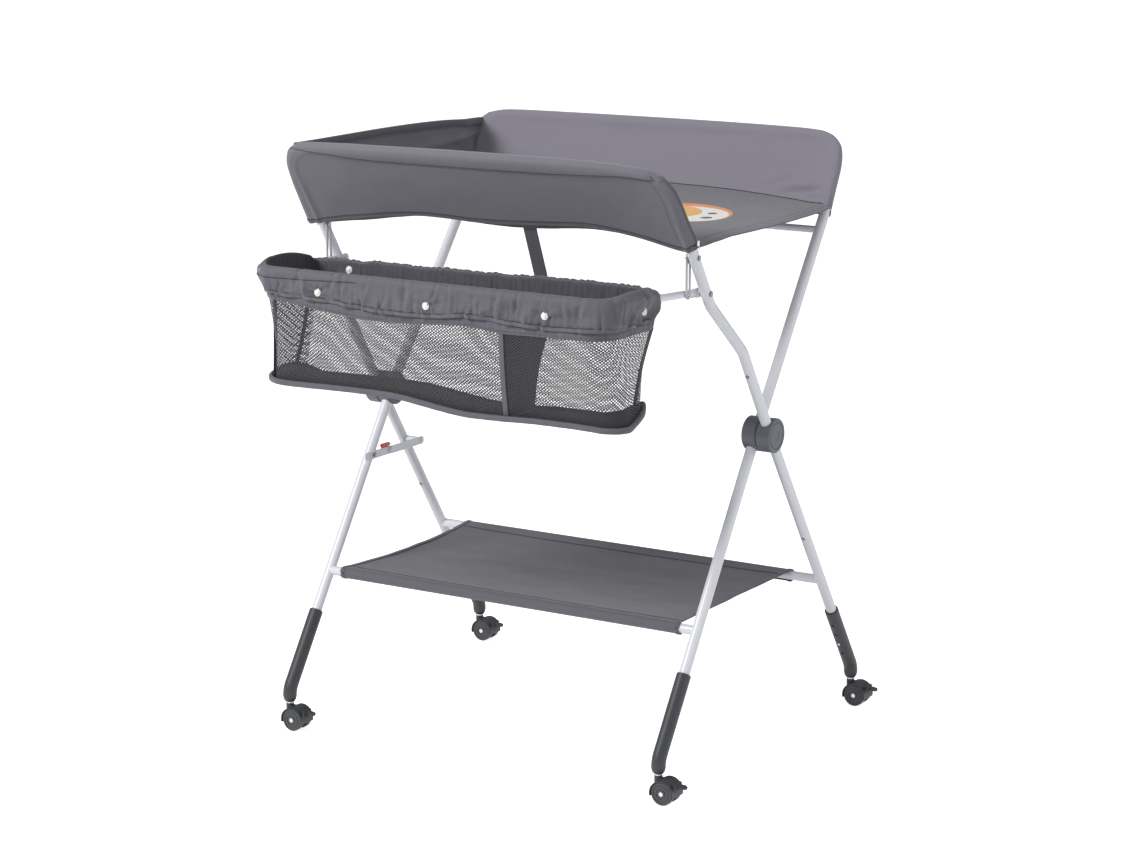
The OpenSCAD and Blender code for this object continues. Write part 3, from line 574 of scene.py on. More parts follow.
def grid(name: str, points: Points, finish: Finish, body: str, closed: bool = False, flip: bool = False) -> Piece:
    """Makes a sheet from rows of points.

    Args:
        name: the piece's name.
        points: its rows of points.
        finish: the finish that dresses it.
        body: the body that it moves with.
        closed: whether the last column joins the first.
        flip: whether its faces are turned over.

    Returns:
        The new object.
    """
    rows, cols = points.shape[:2]
    faces = []
    for i in range(rows - 1):
        for j in range(cols if closed else cols - 1):
            k = (j + 1) % cols
            quad = (i * cols + j, i * cols + k, (i + 1) * cols + k, (i + 1) * cols + j)
            faces.append(quad[::-1] if flip else quad)
    across = np.zeros((rows, cols))
    along = np.zeros((rows, cols))
    across[:, 1:] = np.cumsum(np.linalg.norm(np.diff(points, axis=1), axis=2), axis=1)
    along[1:] = np.cumsum(np.linalg.norm(np.diff(points, axis=0), axis=2), axis=0)
    flat = np.stack((across.ravel(), along.ravel()), axis=1) / 100
    return new_object(name, points, faces, finish, body, flat)


def frames(path: Points, closed: bool = False) -> Points:
    """Returns the direction of travel at each point of a path."""
    step = np.roll(path, -1, axis=0) - np.roll(path, 1, axis=0) if closed else np.gradient(path, axis=0)
    return unit(step)


def soft_ring(count: int = 12) -> list[tuple[float, float]]:
    """Returns a rounded square outline that reaches from -1 to 1.

    Args:
        count: how many points it has.

    Returns:
        Its points.
    """
    ring = []
    for angle in np.linspace(0, 2 * math.pi, count, endpoint=False):
        x, y = math.cos(angle), math.sin(angle)
        ring.append((math.copysign(abs(x) ** 0.5, x), math.copysign(abs(y) ** 0.9, y)))
    return ring


def tape(name: str, path: Points, up: Points, size: tuple[float, float], finish: Finish, body: str,
         closed: bool = False) -> Piece:
    """Lays a flat tape with rounded edges along a path.

    Args:
        name: the piece's name.
        path: its middle line.
        up: the direction away from what it lies on, for each point or for all.
        size: its width and its thickness.
        finish: the finish that dresses it.
        body: the body that it moves with.
        closed: whether the path is a loop.

    Returns:
        The new object.
    """
    ahead = frames(path, closed)
    side = unit(np.cross(ahead, np.broadcast_to(np.asarray(up, float), path.shape)))
    top = np.cross(side, ahead)
    ring = soft_ring()
    points = np.stack([path + side * (x * size[0] / 2) + top * (y * size[1] / 2) for x, y in ring], axis=1)
    rows, cols = points.shape[:2]
    faces = []
    for i in range(rows if closed else rows - 1):
        n = (i + 1) % rows
        faces += [(i * cols + j, n * cols + j, n * cols + (j + 1) % cols, i * cols + (j + 1) % cols)
                  for j in range(cols)]
    if not closed:
        faces += [tuple(range(cols)), tuple(range((rows - 1) * cols, rows * cols))[::-1]]
    flat = np.stack((np.tile([x * size[0] / 2 for x, _ in ring], rows), np.repeat(lengths(path), cols)), axis=1)
    return new_object(name, points, faces, finish, body, flat / 100)


def stitches(name: str, path: Points, up: Points, body: str, pitch: float = 0.42,
             finish: Finish = THREAD) -> Piece:
    """Sews a row of short raised stitches along a path.

    Args:
        name: the piece's name.
        path: the line that the stitches follow.
        up: the direction away from the cloth, for each point or for all.
        body: the body that they move with.
        pitch: how far one stitch is from the next.
        finish: the finish of the thread.

    Returns:
        The new object.
    """
    run = lengths(path)
    count = max(2, int(run[-1] / pitch))
    at = (np.arange(count) + 0.5) * run[-1] / count
    lift = np.broadcast_to(np.asarray(up, float), path.shape)
    middle, lift, ahead = (read_along(at, run, table) for table in (path, lift, frames(path)))
    side = unit(np.cross(ahead, lift))
    corners = [middle + ahead * (a * pitch * 0.34) + side * (b * 0.035) + lift * (c * 0.06)
               for a, b, c in STITCH_CORNERS]
    points = np.stack(corners, axis=1)
    faces = [tuple(i * len(corners) + m for m in face) for i in range(count) for face in STITCH_FACES]
    return new_object(name, points, faces, finish, body)


def declare_sheet(piece: Piece,
                  size: Optional[tuple[float, float]] = None) -> None:
    """Works out a sheet's flat size and the share of it that its cloth covers, and keeps neither.

    Args:
        piece: the sheet, whose first coordinates are those of its flat cut.
        size: the flat cut's width and length in metres, where it isn't read from the coordinates.
    """
    cut = np.zeros(2 * len(piece.data.loops))
    piece.data.uv_layers[0].data.foreach_get("uv", cut)
    spread = np.ptp(cut.reshape(-1, 2), axis=0)
    area = sum(polygon.area for polygon in piece.data.polygons)
    width, length = size or (float(spread[0]), float(spread[1]))
    filled = area / (width * length)
    if not LEAST_FILL <= filled <= 1.0:
        length, filled = area / width, 1.0


def span_frames(pieces: Sequence[Piece]) -> None:
    """Bakes the placement of pieces of cloth into their meshes.

    Args:
        pieces: the cloth and what is sewn to it.
    """
    for piece in pieces:
        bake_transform(piece)


# ---------------------------------------------------------------- changing top


class Side(Enum):
    """Which long side a rim stands on."""

    FRONT = -1
    REAR = 1


@dataclass
class RimCase:
    """A cloth case stretched over a rim tube.

    Places on it are given as s along X, t up the slope of the rim from its foot, and n away from
    the lying surface.
    """

    side: Side
    body: str
    node: str
    base: tuple[float, float]
    lean: float
    outline: Pairs
    hem: Pairs
    inner_hem: Pairs
    slack: float = 0.35  # how far the cloth falls in away from its edges
    roll: float = 1.25  # how wide its rounded edge is
    corner_height: float = 97.0  # the upper corners lie above it
    corners_in: tuple[float, float] = (2.4, 2.6)  # and this far in from the two ends
    half: float = 37.5  # half its length
    tube_x: float = 35.6  # half the length of the tube's loop
    tube_top: float = 99.0
    tube_bend: float = 5.2

    def up(self, z: Points) -> Points:
        """Turns a height into a distance up the slope."""
        return (z - self.base[1]) / math.cos(math.radians(self.lean))

    def at(self, s: Points, t: Points, n: Points) -> Points:
        """Turns places on the case into points about the hub plane.

        Args:
            s: distances along X.
            t: distances up the slope.
            n: distances away from the lying surface.

        Returns:
            The points.
        """
        sin, cos = math.sin(math.radians(self.lean)), math.cos(math.radians(self.lean))
        sign = self.side.value
        s, t, n = np.broadcast_arrays(s, t, n)
        return np.stack((s, self.base[0] + sign * (t * sin + n * cos), self.base[1] + t * cos - n * sin), axis=-1)

    def outward(self) -> Points:
        """Returns the direction away from the lying surface."""
        lean = math.radians(self.lean)
        return np.array((0.0, self.side.value * math.cos(lean), -math.sin(lean)))

    def flat(self, pairs: Pairs) -> Points:
        """Turns pairs of s and height into pairs of s and t."""
        p = np.asarray(pairs, float)
        return np.stack((p[:, 0], self.up(p[:, 1])), axis=1)

    def tube_line(self) -> Points:
        """Draws the middle line of the rim tube.

        Returns:
            Its points as s and t.
        """
        top, r, x = self.up(np.array(self.tube_top)), self.tube_bend, self.tube_x
        turn = np.radians(np.linspace(0, 90, 24))
        right = np.stack((x - r + r * np.cos(turn), top - r + r * np.sin(turn)), axis=1)
        half = np.vstack((np.stack((np.full(40, x), np.linspace(-4, top - r, 40)), axis=1), right))
        left = half[::-1] * (-1, 1)
        middle = np.stack((np.linspace(x - r, r - x, 160), np.full(160, top)), axis=1)
        return np.vstack((half, middle, left))

    def edges(self, low: Points) -> tuple[Points, Points, Points]:
        """Splits the case's outline at its two upper corners.

        Args:
            low: the lower edge, whose ends the side edges start from.

        Returns:
            The left, the top and the right edge.
        """
        path = curve(self.flat(self.outline), 900)
        half = len(path) // 2
        too_low = (path[:, 1] < self.up(np.array(self.corner_height))) * 9
        from_left = np.abs(path[:half, 0] - (path[:half, 0].min() + self.corners_in[0]))
        from_right = np.abs(path[half:, 0] - (path[half:, 0].max() - self.corners_in[1]))
        first = int(np.argmin(from_left + too_low[:half]))
        last = half + int(np.argmin(from_right + too_low[half:]))
        left = curve(np.vstack((low[:1], path[8:first + 1][::8])), 300)
        right = curve(np.vstack((low[-1:], path[last:-8][::-1][::8])), 300)
        return left, path[first:last + 1], right

    def patch(self, hem: Pairs, cols: int = 170, rows: int = 50) -> tuple[Points, Points, Points]:
        """Maps a grid onto one skin of the case.

        Args:
            hem: the skin's lower edge as pairs of s and height.
            cols: points along the case.
            rows: points from the hem to the top.

        Returns:
            s and t of each point, and its distance from the case's outline.
        """
        low = curve(self.flat(hem), 600)
        left, top, right = self.edges(low)
        v = np.sin(np.linspace(0, math.pi / 2, rows)) ** 1.15
        w = np.linspace(0, 1, cols)
        u = 0.55 * w + 0.45 * (0.5 - 0.5 * np.cos(math.pi * w))
        b, t, l, r = at_shares(low, u), at_shares(top, u), at_shares(left, v), at_shares(right, v)
        l[-1], r[-1], l[0], r[0] = t[0], t[-1], b[0], b[-1]
        uu, vv = u[None, :, None], v[:, None, None]
        p = (1 - vv) * b[None] + vv * t[None] + (1 - uu) * l[:, None] + uu * r[:, None]
        p = p - ((1 - uu) * (1 - vv) * b[0] + uu * (1 - vv) * b[-1] + (1 - uu) * vv * t[0] + uu * vv * t[-1])
        gap = self.distance(p, np.vstack((left, top, right[::-1]))[::2])
        gap[-1], gap[:, 0], gap[:, -1] = 0, 0, 0
        return p[..., 0], p[..., 1], gap

    @staticmethod
    def distance(points: Points, line: Points) -> Points:
        """Returns how far each point of a grid is from a line."""
        return np.sqrt(((points[:, :, None, :] - line[None, None]) ** 2).sum(axis=3)).min(axis=2)

    def crease(self, s: Points, t: Points) -> Points:
        """Returns how far sewn seams pull the outer skin in."""
        return np.zeros_like(s)

    def corner_folds(self, s: Points, t: Points) -> Points:
        """Gives the inner skin's lower right corner its slack folds.

        Args:
            s: distances along X.
            t: distances up the slope.

        Returns:
            How deep the folds are.
        """
        total = np.zeros_like(s)
        for at, high, slope, wide, deep in ((31.0, 3.4, 0.10, 3.2, 0.60), (33.5, 2.3, -0.12, 2.2, 0.45),
                                            (26.0, 4.6, 0.32, 3.0, 0.14)):
            total += deep * np.exp(-(((s - at) / wide) ** 2) - (((t - high - slope * (s - at)) / 0.5) ** 2))
        return total * (self.side is Side.REAR)

    def skin(self, hem: Pairs, sign: int) -> Points:
        """Shapes one skin of the case.

        Args:
            hem: its lower edge as pairs of s and height.
            sign: 1 for the outer skin and -1 for the inner one.

        Returns:
            Its grid of points, from the hem to the top.
        """
        s, t, gap = self.patch(hem)
        near = np.clip(gap / self.roll, 0, 1)
        n = CLOTH_RADIUS * np.sqrt(1 - (1 - near) ** 2)
        n = n - self.slack * (1 - np.exp(-np.maximum(gap - self.roll, 0) / 3.0))
        low = np.linspace(1, 0, s.shape[0])[:, None] ** 2.4
        n = n - low * 0.7 * (1 - np.abs(np.clip(s / self.half, -1, 1)) ** 6)
        n = n + 0.06 * ripple(s, t * 1.4, 0.16, 3.0 + sign) * np.clip(gap / 2, 0, 1)
        n = n + 0.035 * ripple(s * 1.5 + t, t * 0.5, 0.5, 6.0 + sign) * np.exp(-(((gap - 1.6) / 1.3) ** 2))
        n = n - (self.crease(s, t) if sign > 0 else self.corner_folds(s, t))
        off = self.distance(np.stack((s, t), axis=2), self.tube_line())
        wide = 1.9 - 0.8 * np.clip((np.abs(s) - 24) / 6, 0, 1) * (self.side is Side.FRONT)
        over = (TUBE_RADIUS + 0.11) * np.exp(-((off / wide) ** 2))
        n = 0.5 * (n + over + np.sqrt((n - over) ** 2 + 0.012))
        n = n * np.clip(gap / 0.12, 0, 1) ** 0.5
        return self.at(s, t, sign * n)

    def build(self) -> None:
        """Makes both skins and the trims of the outer one."""
        name = self.side.name.lower()
        rear = self.side is Side.REAR
        outer = grid(f"{name}_rim_outer_cloth", self.skin(self.hem, 1), CLOTH, self.body, flip=rear)
        # The rear rim's inner skin takes the lighter copy of the grey cloth: painted light.
        inner = grid(f"{name}_rim_inner_cloth", self.skin(self.inner_hem, -1), REAR_CLOTH_PAINTED_LIGHT if rear else CLOTH,
                     self.body, flip=not rear)
        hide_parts(self.node)
        trims = self.finish_hem(name)
        declare_sheet(outer)
        declare_sheet(inner)

    def finish_hem(self, name: str) -> list[Piece]:
        """Binds the lower edge of the outer skin and sews the binding.

        Args:
            name: the rim's name.

        Returns:
            The binding, its seam and its stitches.
        """
        points = self.skin(self.hem, 1)
        edge, away = points[0], self.outward()
        rise = unit(points[6] - points[0])
        return [
            tape(f"{name}_hem_binding", edge + rise * 0.2 + away * 0.02, away, (0.8, 0.14), BINDING, self.body),
            tape(f"{name}_hem_seam", edge + rise * 0.68 + away * 0.03, away, (0.10, 0.08), THREAD, self.body),
            stitches(f"{name}_hem_stitches", edge + rise * 0.5 + away * 0.08, away, self.body)]


@dataclass
class FrontRim(RimCase):
    """The front rim: its case has a sewn casing along the top and a zip at the right end."""

    roll_seam: Pairs = ((-36.8, 97.9), (-35.6, 98.7), (-34.0, 99.2), (-27.7, 98.95), (-21.3, 98.4), (-15.0, 98.2),
                        (-3.9, 98.2), (8.8, 98.3), (18.4, 98.55), (25.1, 98.85), (29.2, 98.9), (33.4, 98.6))
    seam_ends: tuple[float, float] = (-35.6, 33.2)  # where it starts and ends along X
    flap_drop: Pairs = ((-37, 0.0), (-34, 0.35), (-28, 0.55), (-20, 0.45), (-13, 0.1), (-10, -0.5), (-7, -0.2),
                        (-3, 0.4), (6, 0.75), (16, 0.6), (24, 0.35), (30, -0.1), (32, -0.5))

    def seam_at(self, s: Points) -> Points:
        """Returns how far up the slope the casing's seam runs at s."""
        path = curve(self.flat(self.roll_seam), 300)
        return np.interp(s, path[:, 0], path[:, 1])

    def crease(self, s: Points, t: Points) -> Points:
        """Returns how far sewn seams pull the outer skin in."""
        inside = np.clip((34.5 - s) / 1.0, 0, 1)
        return 0.16 * np.exp(-(((t - self.seam_at(s)) / 0.28) ** 2)) * inside

    def seam_line(self, skin: Points) -> Points:
        """Follows the casing's seam over the outer skin.

        Args:
            skin: the outer skin's grid of points.

        Returns:
            The seam's points.
        """
        s, t, _ = self.patch(self.hem)
        line = []
        for j in np.where((s[-1] > self.seam_ends[0]) & (s[-1] < self.seam_ends[1]))[0]:
            seam = self.seam_at(s[:, j])
            i = min(max(int(np.argmin(np.abs(t[:, j] - seam))), 1), len(t) - 2)
            k = i + 1 if t[i, j] < seam[i] else i - 1
            w = np.clip((seam[i] - t[i, j]) / (t[k, j] - t[i, j] + 1e-9), 0, 1)
            line.append(skin[i, j] * (1 - w) + skin[k, j] * w)
        return np.array(line)

    def dress(self) -> None:
        """Adds the casing's seam, the piped right end with its zip, and the flap below the hem."""
        away, side, below = self.outward(), np.array((0.8, -0.5, 0.1)), np.array((0.0, 0.14, -0.21))
        skin = self.skin(self.hem, 1)
        line = self.seam_line(skin)
        share = np.linspace(1.0, 0.45, len(skin))[::-1, None]
        inner = (skin[:, -1] * (1 - share) + skin[:, -9] * share)[:-1]
        pieces = [tape("front_casing_seam", line + away * 0.02, away, (0.13, 0.09), THREAD, self.body),
                  stitches("front_casing_stitches", line + below + away * 0.07, away, self.body),
                  tape("front_end_piping", skin[:, -1] + side * 0.02, side, (0.42, 0.30), BINDING, self.body),
                  tape("front_end_seam", inner + away * 0.02, away, (0.16, 0.10), THREAD, self.body),
                  stitches("front_end_stitches", skin[:-1, -11] + away * 0.05, away, self.body)]
        self.zip_end(skin[:, -1])
        self.under_flap(skin[0])

    def under_flap(self, hem: Points) -> None:
        """Adds the soft edge of the inner cloth, which shows below the hem here and there.

        Args:
            hem: the points of the outer skin's lower edge.
        """
        x = np.linspace(-37.0, 32.0, 300)
        _, y, z = read_along(x, hem[:, 0], hem).T
        drop = ease(x, self.flap_drop)
        rows = []
        for f in np.linspace(0, 1, 7):
            wave = 0.16 * f * ripple(x, x * 0 + f, 0.35, 5.0) + 0.05 * f * np.sin(x * 3.1 + 2 * np.sin(x * 0.7))
            rows.append(np.column_stack((x, y + 0.55 + 0.35 * f + wave, z + 0.9 - (0.9 + drop) * f)))
        grid("front_under_flap", np.stack(rows), CLOTH, self.body)

    def zip_end(self, edge: Points) -> None:
        """Adds the slider of the zip at the foot of the right end, and its ring puller.

        Args:
            edge: the points of the right end, from its foot up.
        """
        out = np.array((0.80, -0.55, 0.1))
        foot = edge[1] + np.array((0.1, -0.15, 0.2))
        path = np.linspace(foot + UP * 0.45, foot - UP * 0.45, 8)
        slider = tape("zip_slider", path, out, (0.45, 0.26), STEEL, self.body)
        angle = np.linspace(0, 2 * math.pi, 28, endpoint=False)
        ring = np.stack((0.24 * np.cos(angle), -0.14 * np.cos(angle), 0.62 * np.sin(angle)), axis=1)
        ring += foot + np.array((0.1, -0.08, -1.0))
        puller = tape("zip_puller", ring, out, (0.13, 0.13), STEEL, self.body, closed=True)


@dataclass
class LyingSurface:
    """The cloth between the rims: it sags a little, and its right edge is bound."""

    front: RimCase
    rear: RimCase
    left: float = -35.3
    right: float = 37.0
    sag: Pairs = ((-36, 1.2), (-20, 1.7), (0, 1.9), (20, 1.6), (30, 1.0), (37.2, 0.35))

    def points(self, cols: int = 150, rows: int = 96) -> Points:
        """Shapes the surface.

        Args:
            cols: points from its left to its right edge.
            rows: points from the front seam to the rear one.

        Returns:
            Its grid of points, from the front seam to the rear one.
        """
        x = np.linspace(self.left, self.right, cols)
        seams = [case.skin(case.inner_hem, -1)[0] for case in (self.front, self.rear)]
        f, r = (read_along(x, seam[:, 0], seam) for seam in seams)
        f[:, 0] = r[:, 0] = x
        w = np.linspace(0, 1, rows)[:, None, None]
        p = (1 - w) * f[None] + w * r[None]
        w = w[..., 0]
        arch = 4 * w * (1 - w)
        p[..., 0] -= np.clip((w - 0.86) / 0.14, 0, 1) ** 2 * 0.75 * np.clip((x[None] - 30) / 7, 0, 1)
        p[..., 2] -= arch * ease(x, self.sag)[None]
        p[..., 2] += 0.12 * ripple(p[..., 0], p[..., 1] * 0.5, 0.13, 9.0) * arch
        near = np.clip(1 - w / 0.22, 0, 1) * np.clip((x[None] - 33) / 4, 0, 1)
        p[..., 2] -= near * 0.75
        p[..., 1] -= near * 1.2
        corner = np.exp(-((p[..., 0] - 36) ** 2) / 60)
        p[..., 2] += 0.03 * np.sin((p[..., 1] + p[..., 0]) * 1.3) * corner * (1 - arch)
        return p

    def build(self) -> None:
        """Makes the surface with its bound right edge and its seams."""
        points = self.points()
        # The surface cloth carries its print, over a ground painted darker as painted shade.
        cloth = grid("lying_surface_cloth", points, SURFACE_CLOTH_PAINTED_SHADE, "")
        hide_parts("changing_sling")
        hem = tape("lying_surface_hem", points[:, -1], UP, (1.0, 0.28), BINDING, "")
        row = stitches("lying_surface_stitches", points[:, -4] + UP * 0.02, UP, "")
        seam = tape("lying_surface_rear_seam", points[-1, 4:] + np.array((0.0, -0.06, 0.05)),
                    np.array((0.0, -0.7, 0.7)), (0.16, 0.10), THREAD, "")
        span_frames((cloth, hem, row, seam))
        declare_sheet(cloth)


@dataclass
class HeadPanel:
    """The cloth wall at the left end, between the two rims."""

    front: RimCase
    rear: RimCase
    surface: LyingSurface
    x: float = -35.2
    tops: tuple[float, float] = (98.3, 97.3)  # heights of its top corners, front and rear

    def points(self, rows: int = 40, cols: int = 90) -> Points:
        """Shapes the wall.

        Args:
            rows: points from the lying surface to the top hem.
            cols: points from the front rim to the rear one.

        Returns:
            Its grid of points, from the lying surface to the top hem.
        """
        low = self.surface.points()[:, 0]
        w = np.linspace(0, 1, cols)
        base = at_steps(low, w)
        f = self.front.at(np.array(self.x), self.front.up(np.array(self.tops[0])), np.array(-0.75))
        r = self.rear.at(np.array(self.x), self.rear.up(np.array(self.tops[1])), np.array(0.0))
        top = f[None] * (1 - w[:, None]) + r[None] * w[:, None]
        arch = 4 * w * (1 - w)
        top[:, 2] += 0.30 + 0.25 * w + 0.65 * np.sin(math.pi * w**1.25)
        top[:, 0] += 0.55 * arch
        v = np.linspace(0, 1, rows)[:, None, None]
        p = (1 - v) * base[None] + v * top[None]
        v, w = v[..., 0], w[None]
        bulge = 0.45 * ripple(p[..., 1] + 0.8 * p[..., 2], p[..., 2] * 1.3, 0.13, 5.0)
        p[..., 0] += np.sin(math.pi * v) * (0.5 * arch[None] + bulge)
        fold = np.exp(-(((w - 0.84 + 0.05 * (1 - v)) / 0.055) ** 2)) * (0.35 + 0.65 * v)
        held = np.clip(v * 5, 0, 1)
        p[..., 0] += held * (0.95 * fold - 0.6 * np.clip((w - 0.9) / 0.1, 0, 1))
        ridge = np.exp(-(((v - 0.72 - 0.35 * (w - 0.8)) / 0.06) ** 2)) * np.clip((w - 0.45) / 0.3, 0, 1)
        p[..., 0] += 0.35 * ridge
        return p

    def build(self) -> None:
        """Makes the wall and its hem."""
        points = self.points()
        cloth = grid("head_panel_cloth", points, CLOTH, "", flip=True)
        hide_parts("end_panel")
        out = np.array((-1.0, 0.0, 0.0))
        hem = tape("head_panel_hem", points[-1], out, (1.3, 0.5), BINDING, "")
        row = stitches("head_panel_stitches", points[-4] - out * 0.03, -out, "")
        span_frames((cloth, hem, row))
        declare_sheet(cloth)


@dataclass
class Strap:
    """The webbing tail that hangs from the front hem, with a sewn end."""

    width: float = 2.5
    top: Place = (5.9, -20.9, 88.4)
    middle: Place = (7.05, -20.9, 84.2)
    foot: Place = (8.2, -20.9, 80.0)

    def build(self) -> None:
        """Makes the webbing and the seam across its end."""
        path = curve((self.top, self.middle, self.foot), 40)
        out = np.array((0.0, -1.0, 0.0))
        band = tape("support_strap_webbing", path, out, (self.width, 0.16), WEBBING, "outer_frame")
        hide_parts("support_strap")
        x, y, z = self.foot
        for number, up in ((1, 0.35), (2, 1.3)):
            line = np.linspace((x - 0.8, y - 0.1, z + up), (x + 0.75, y - 0.1, z + up), 12)
            row = stitches(f"support_strap_stitches_{number}", line, out, "outer_frame", 0.3, BINDING)


# ---------------------------------------------------------------- basket


class Wall(Enum):
    """A wall of the basket."""

    FRONT = "front"
    RIGHT = "right"
    REAR = "rear"


@dataclass(frozen=True)
class Snap:
    """Where one snap sits: on which wall, how far along it in X or Y, and how high."""

    wall: Wall
    at: float
    height: float


INNER_ROWS, CREST_ROWS, OUTER_ROWS = 14, 11, 18  # rows of the sleeve: inside, over the tube and outside
EDGE_ROW = INNER_ROWS + CREST_ROWS + 1
HEM_ROW = INNER_ROWS + CREST_ROWS + OUTER_ROWS - 1
SNAP_PROFILE = ((0.0, 0.36), (0.14, 0.35), (0.28, 0.31), (0.40, 0.24), (0.47, 0.17), (0.49, 0.13), (0.53, 0.16),
                (0.58, 0.17), (0.62, 0.13), (0.63, 0.05), (0.60, -0.08))  # radius and height
CORNER_TAPES = (("right", 33.8, -28.6), ("left", -33.8, -38.4), ("rear", -33.8, -28.6))


def nearest_column(off: Points, elsewhere: Points) -> int:
    """Finds the column of a grid that is nearest to a place.

    Args:
        off: how far each column is from it.
        elsewhere: the columns that don't count.

    Returns:
        The column's number.
    """
    return int(np.argmin(np.where(elsewhere, np.inf, np.abs(off))))


@dataclass
class Basket:
    """The hanging basket: a gathered sleeve on the rim tube, net walls, a piped base and a divider."""

    half: float = 34.2  # half its width
    front: float = 42.4  # how far ahead of the hub plane its front lies
    back: float = 26.8  # how far ahead of the hub plane its rear lies
    askew: tuple[float, float] = (0.7, 0.041)  # how far its rear rail is shifted back, and how it slopes
    front_y: float = -38.0  # ahead of it is the front wall
    middle_y: float = -35.0
    right_x: float = 30.0  # right of it is the right wall
    divider_x: float = 14.4
    net_height: float = 13.4
    body: str = "basket"
    count: int = 860  # columns round the loop
    crease_count: int = 64
    rear_hem: float = 76.6
    rear_net_top: float = 75.3
    hem: Pairs = ((-36, 77.6), (-28.2, 77.1), (-17, 76.6), (-9.7, 76.1), (-2.5, 76.0), (1.9, 76.1), (8.4, 76.8),
                  (13.7, 76.5), (19, 76.3), (24.2, 76.1), (31.4, 76.5), (36.4, 76.2))
    net_top: Pairs = ((-36, 76.6), (-28, 76.2), (-20.4, 75.3), (-11.9, 74.6), (-5.2, 74.6), (1.4, 75.0),
                      (7.9, 75.3), (14.3, 74.8), (20.7, 74.9), (28.4, 75.0), (36, 75.2))
    rear_top: Pairs = ((-36, 80.2), (-33, 80.3), (-28.4, 80.6), (-23.9, 80.5), (-19.6, 80.8), (-11, 80.7),
                       (-5.7, 80.95), (3.7, 80.95), (10.2, 81.2), (16.2, 81.3), (22.2, 81.4), (30, 81.3),
                       (33, 81.0), (36, 80.8))
    foot: Pairs = ((-36, 62.8), (-30.2, 62.4), (-27, 62.3), (-16.5, 62.5), (-9, 62.5), (-4.6, 62.2), (0, 61.6),
                   (4.2, 61.1), (7.5, 60.9), (14, 61.0), (19.3, 61.2), (27, 61.2), (33, 61.0), (36, 61.0))
    snap_places: tuple[Snap, ...] = (Snap(Wall.FRONT, -20.1, 78.0), Snap(Wall.FRONT, 1.0, 77.9),
                                     Snap(Wall.FRONT, 22.3, 78.1), Snap(Wall.RIGHT, -32.4, 78.4),
                                     Snap(Wall.REAR, -26.0, 79.1))

    def loop(self, left: float, right: float, front: float, back: float, corner: float,
             rear_corner: float) -> Points:
        """Draws an even loop round a rounded rectangle, seen from above.

        Args:
            left: how far it reaches to the left.
            right: how far it reaches to the right.
            front: how far it reaches to the front.
            back: how far in front of the hub plane its rear lies.
            corner: the radius of its front corners.
            rear_corner: the radius of its rear corners.

        Returns:
            Its points, from the middle of the back over the left to the right.
        """
        corners = ((-left, -back, rear_corner, 90), (-left, -front, corner, 180),
                   (right, -front, corner, 270), (right, -back, rear_corner, 0))
        middle = np.array(((right - left) / 2, -back))
        path = [middle]
        for x, y, r, start in corners:
            cx = x + r if x < 0 else x - r
            cy = y - r if y == -back else y + r
            turn = np.radians(np.linspace(start, start + 90, 14))
            path += [(cx + r * math.cos(a), cy + r * math.sin(a)) for a in turn]
        path = np.array(path + [middle])
        run = lengths(path)
        return read_along(np.linspace(0, run[-1], self.count, endpoint=False), run, path)

    def outward(self, path: Points) -> Points:
        """Finds the way out of a loop.

        Args:
            path: the loop's points, seen from above.

        Returns:
            The direction out of it at each point.
        """
        step = np.roll(path, -2, axis=0) - np.roll(path, 2, axis=0)
        out = unit(np.stack((step[:, 1], -step[:, 0]), axis=1))
        return out if ((path[0] - path.mean(axis=0)) * out[0]).sum() > 0 else -out

    def outward_level(self, path: Points) -> Points:
        """Returns the direction out of a loop at each point, as level directions in space."""
        return np.column_stack((self.outward(path), np.zeros(self.count)))

    def rim_loop(self) -> Points:
        """Draws the loop of the rim tube, whose rear runs a little askew.

        Returns:
            Its points, seen from above.
        """
        path = self.loop(self.half - 0.45, self.half - 0.45, self.front - 0.6, self.back + 0.1, 3.6, 1.5)
        shift, slope = self.askew
        path[:, 1] += np.clip((path[:, 1] + 42) / 15, 0, 1) * (shift - slope * path[:, 0])
        return path

    def foot_loop(self) -> Points:
        """Returns the loop where the walls meet the base."""
        return self.loop(33.0, 34.3, 40.3, 31.4, 3.4, 2.6)

    def is_rear(self) -> Points:
        """Returns 1 along the rear of the loop and 0 along the front and the ends, with soft corners."""
        (x, y), (shift, slope) = self.rim_loop().T, self.askew
        return np.clip((y - shift + slope * x + self.back + 1.9) / 1.4, 0, 1)

    def run(self) -> Points:
        """Returns the length along the rim at each column."""
        path = self.rim_loop()
        return np.cumsum(np.linalg.norm(path - np.roll(path, 1, axis=0), axis=1))

    def end(self) -> tuple[Points, Points]:
        """Returns how much each column belongs to the left end and to the right end."""
        x = self.rim_loop()[:, 0]
        return np.clip((-x - 29.5) / 4, 0, 1), np.clip((x - 30.5) / 3, 0, 1)

    def big_folds(self, down: float) -> Points:
        """Draws the broad slanting folds of the sleeve.

        Args:
            down: the share of the way down it.

        Returns:
            How far they lift each column.
        """
        run = self.run()
        flat = np.full(self.count, 0.9 * down)
        broad = 1.0 - 2.6 * np.abs(ripple((run + 3.0 * down) * 0.17, flat, 1.0, 1.0))
        close = 1.0 - 2.6 * np.abs(ripple((run - 2.0 * down) * 0.36, flat * 1.4, 1.0, 2.0))
        return 0.6 * broad + 0.45 * close

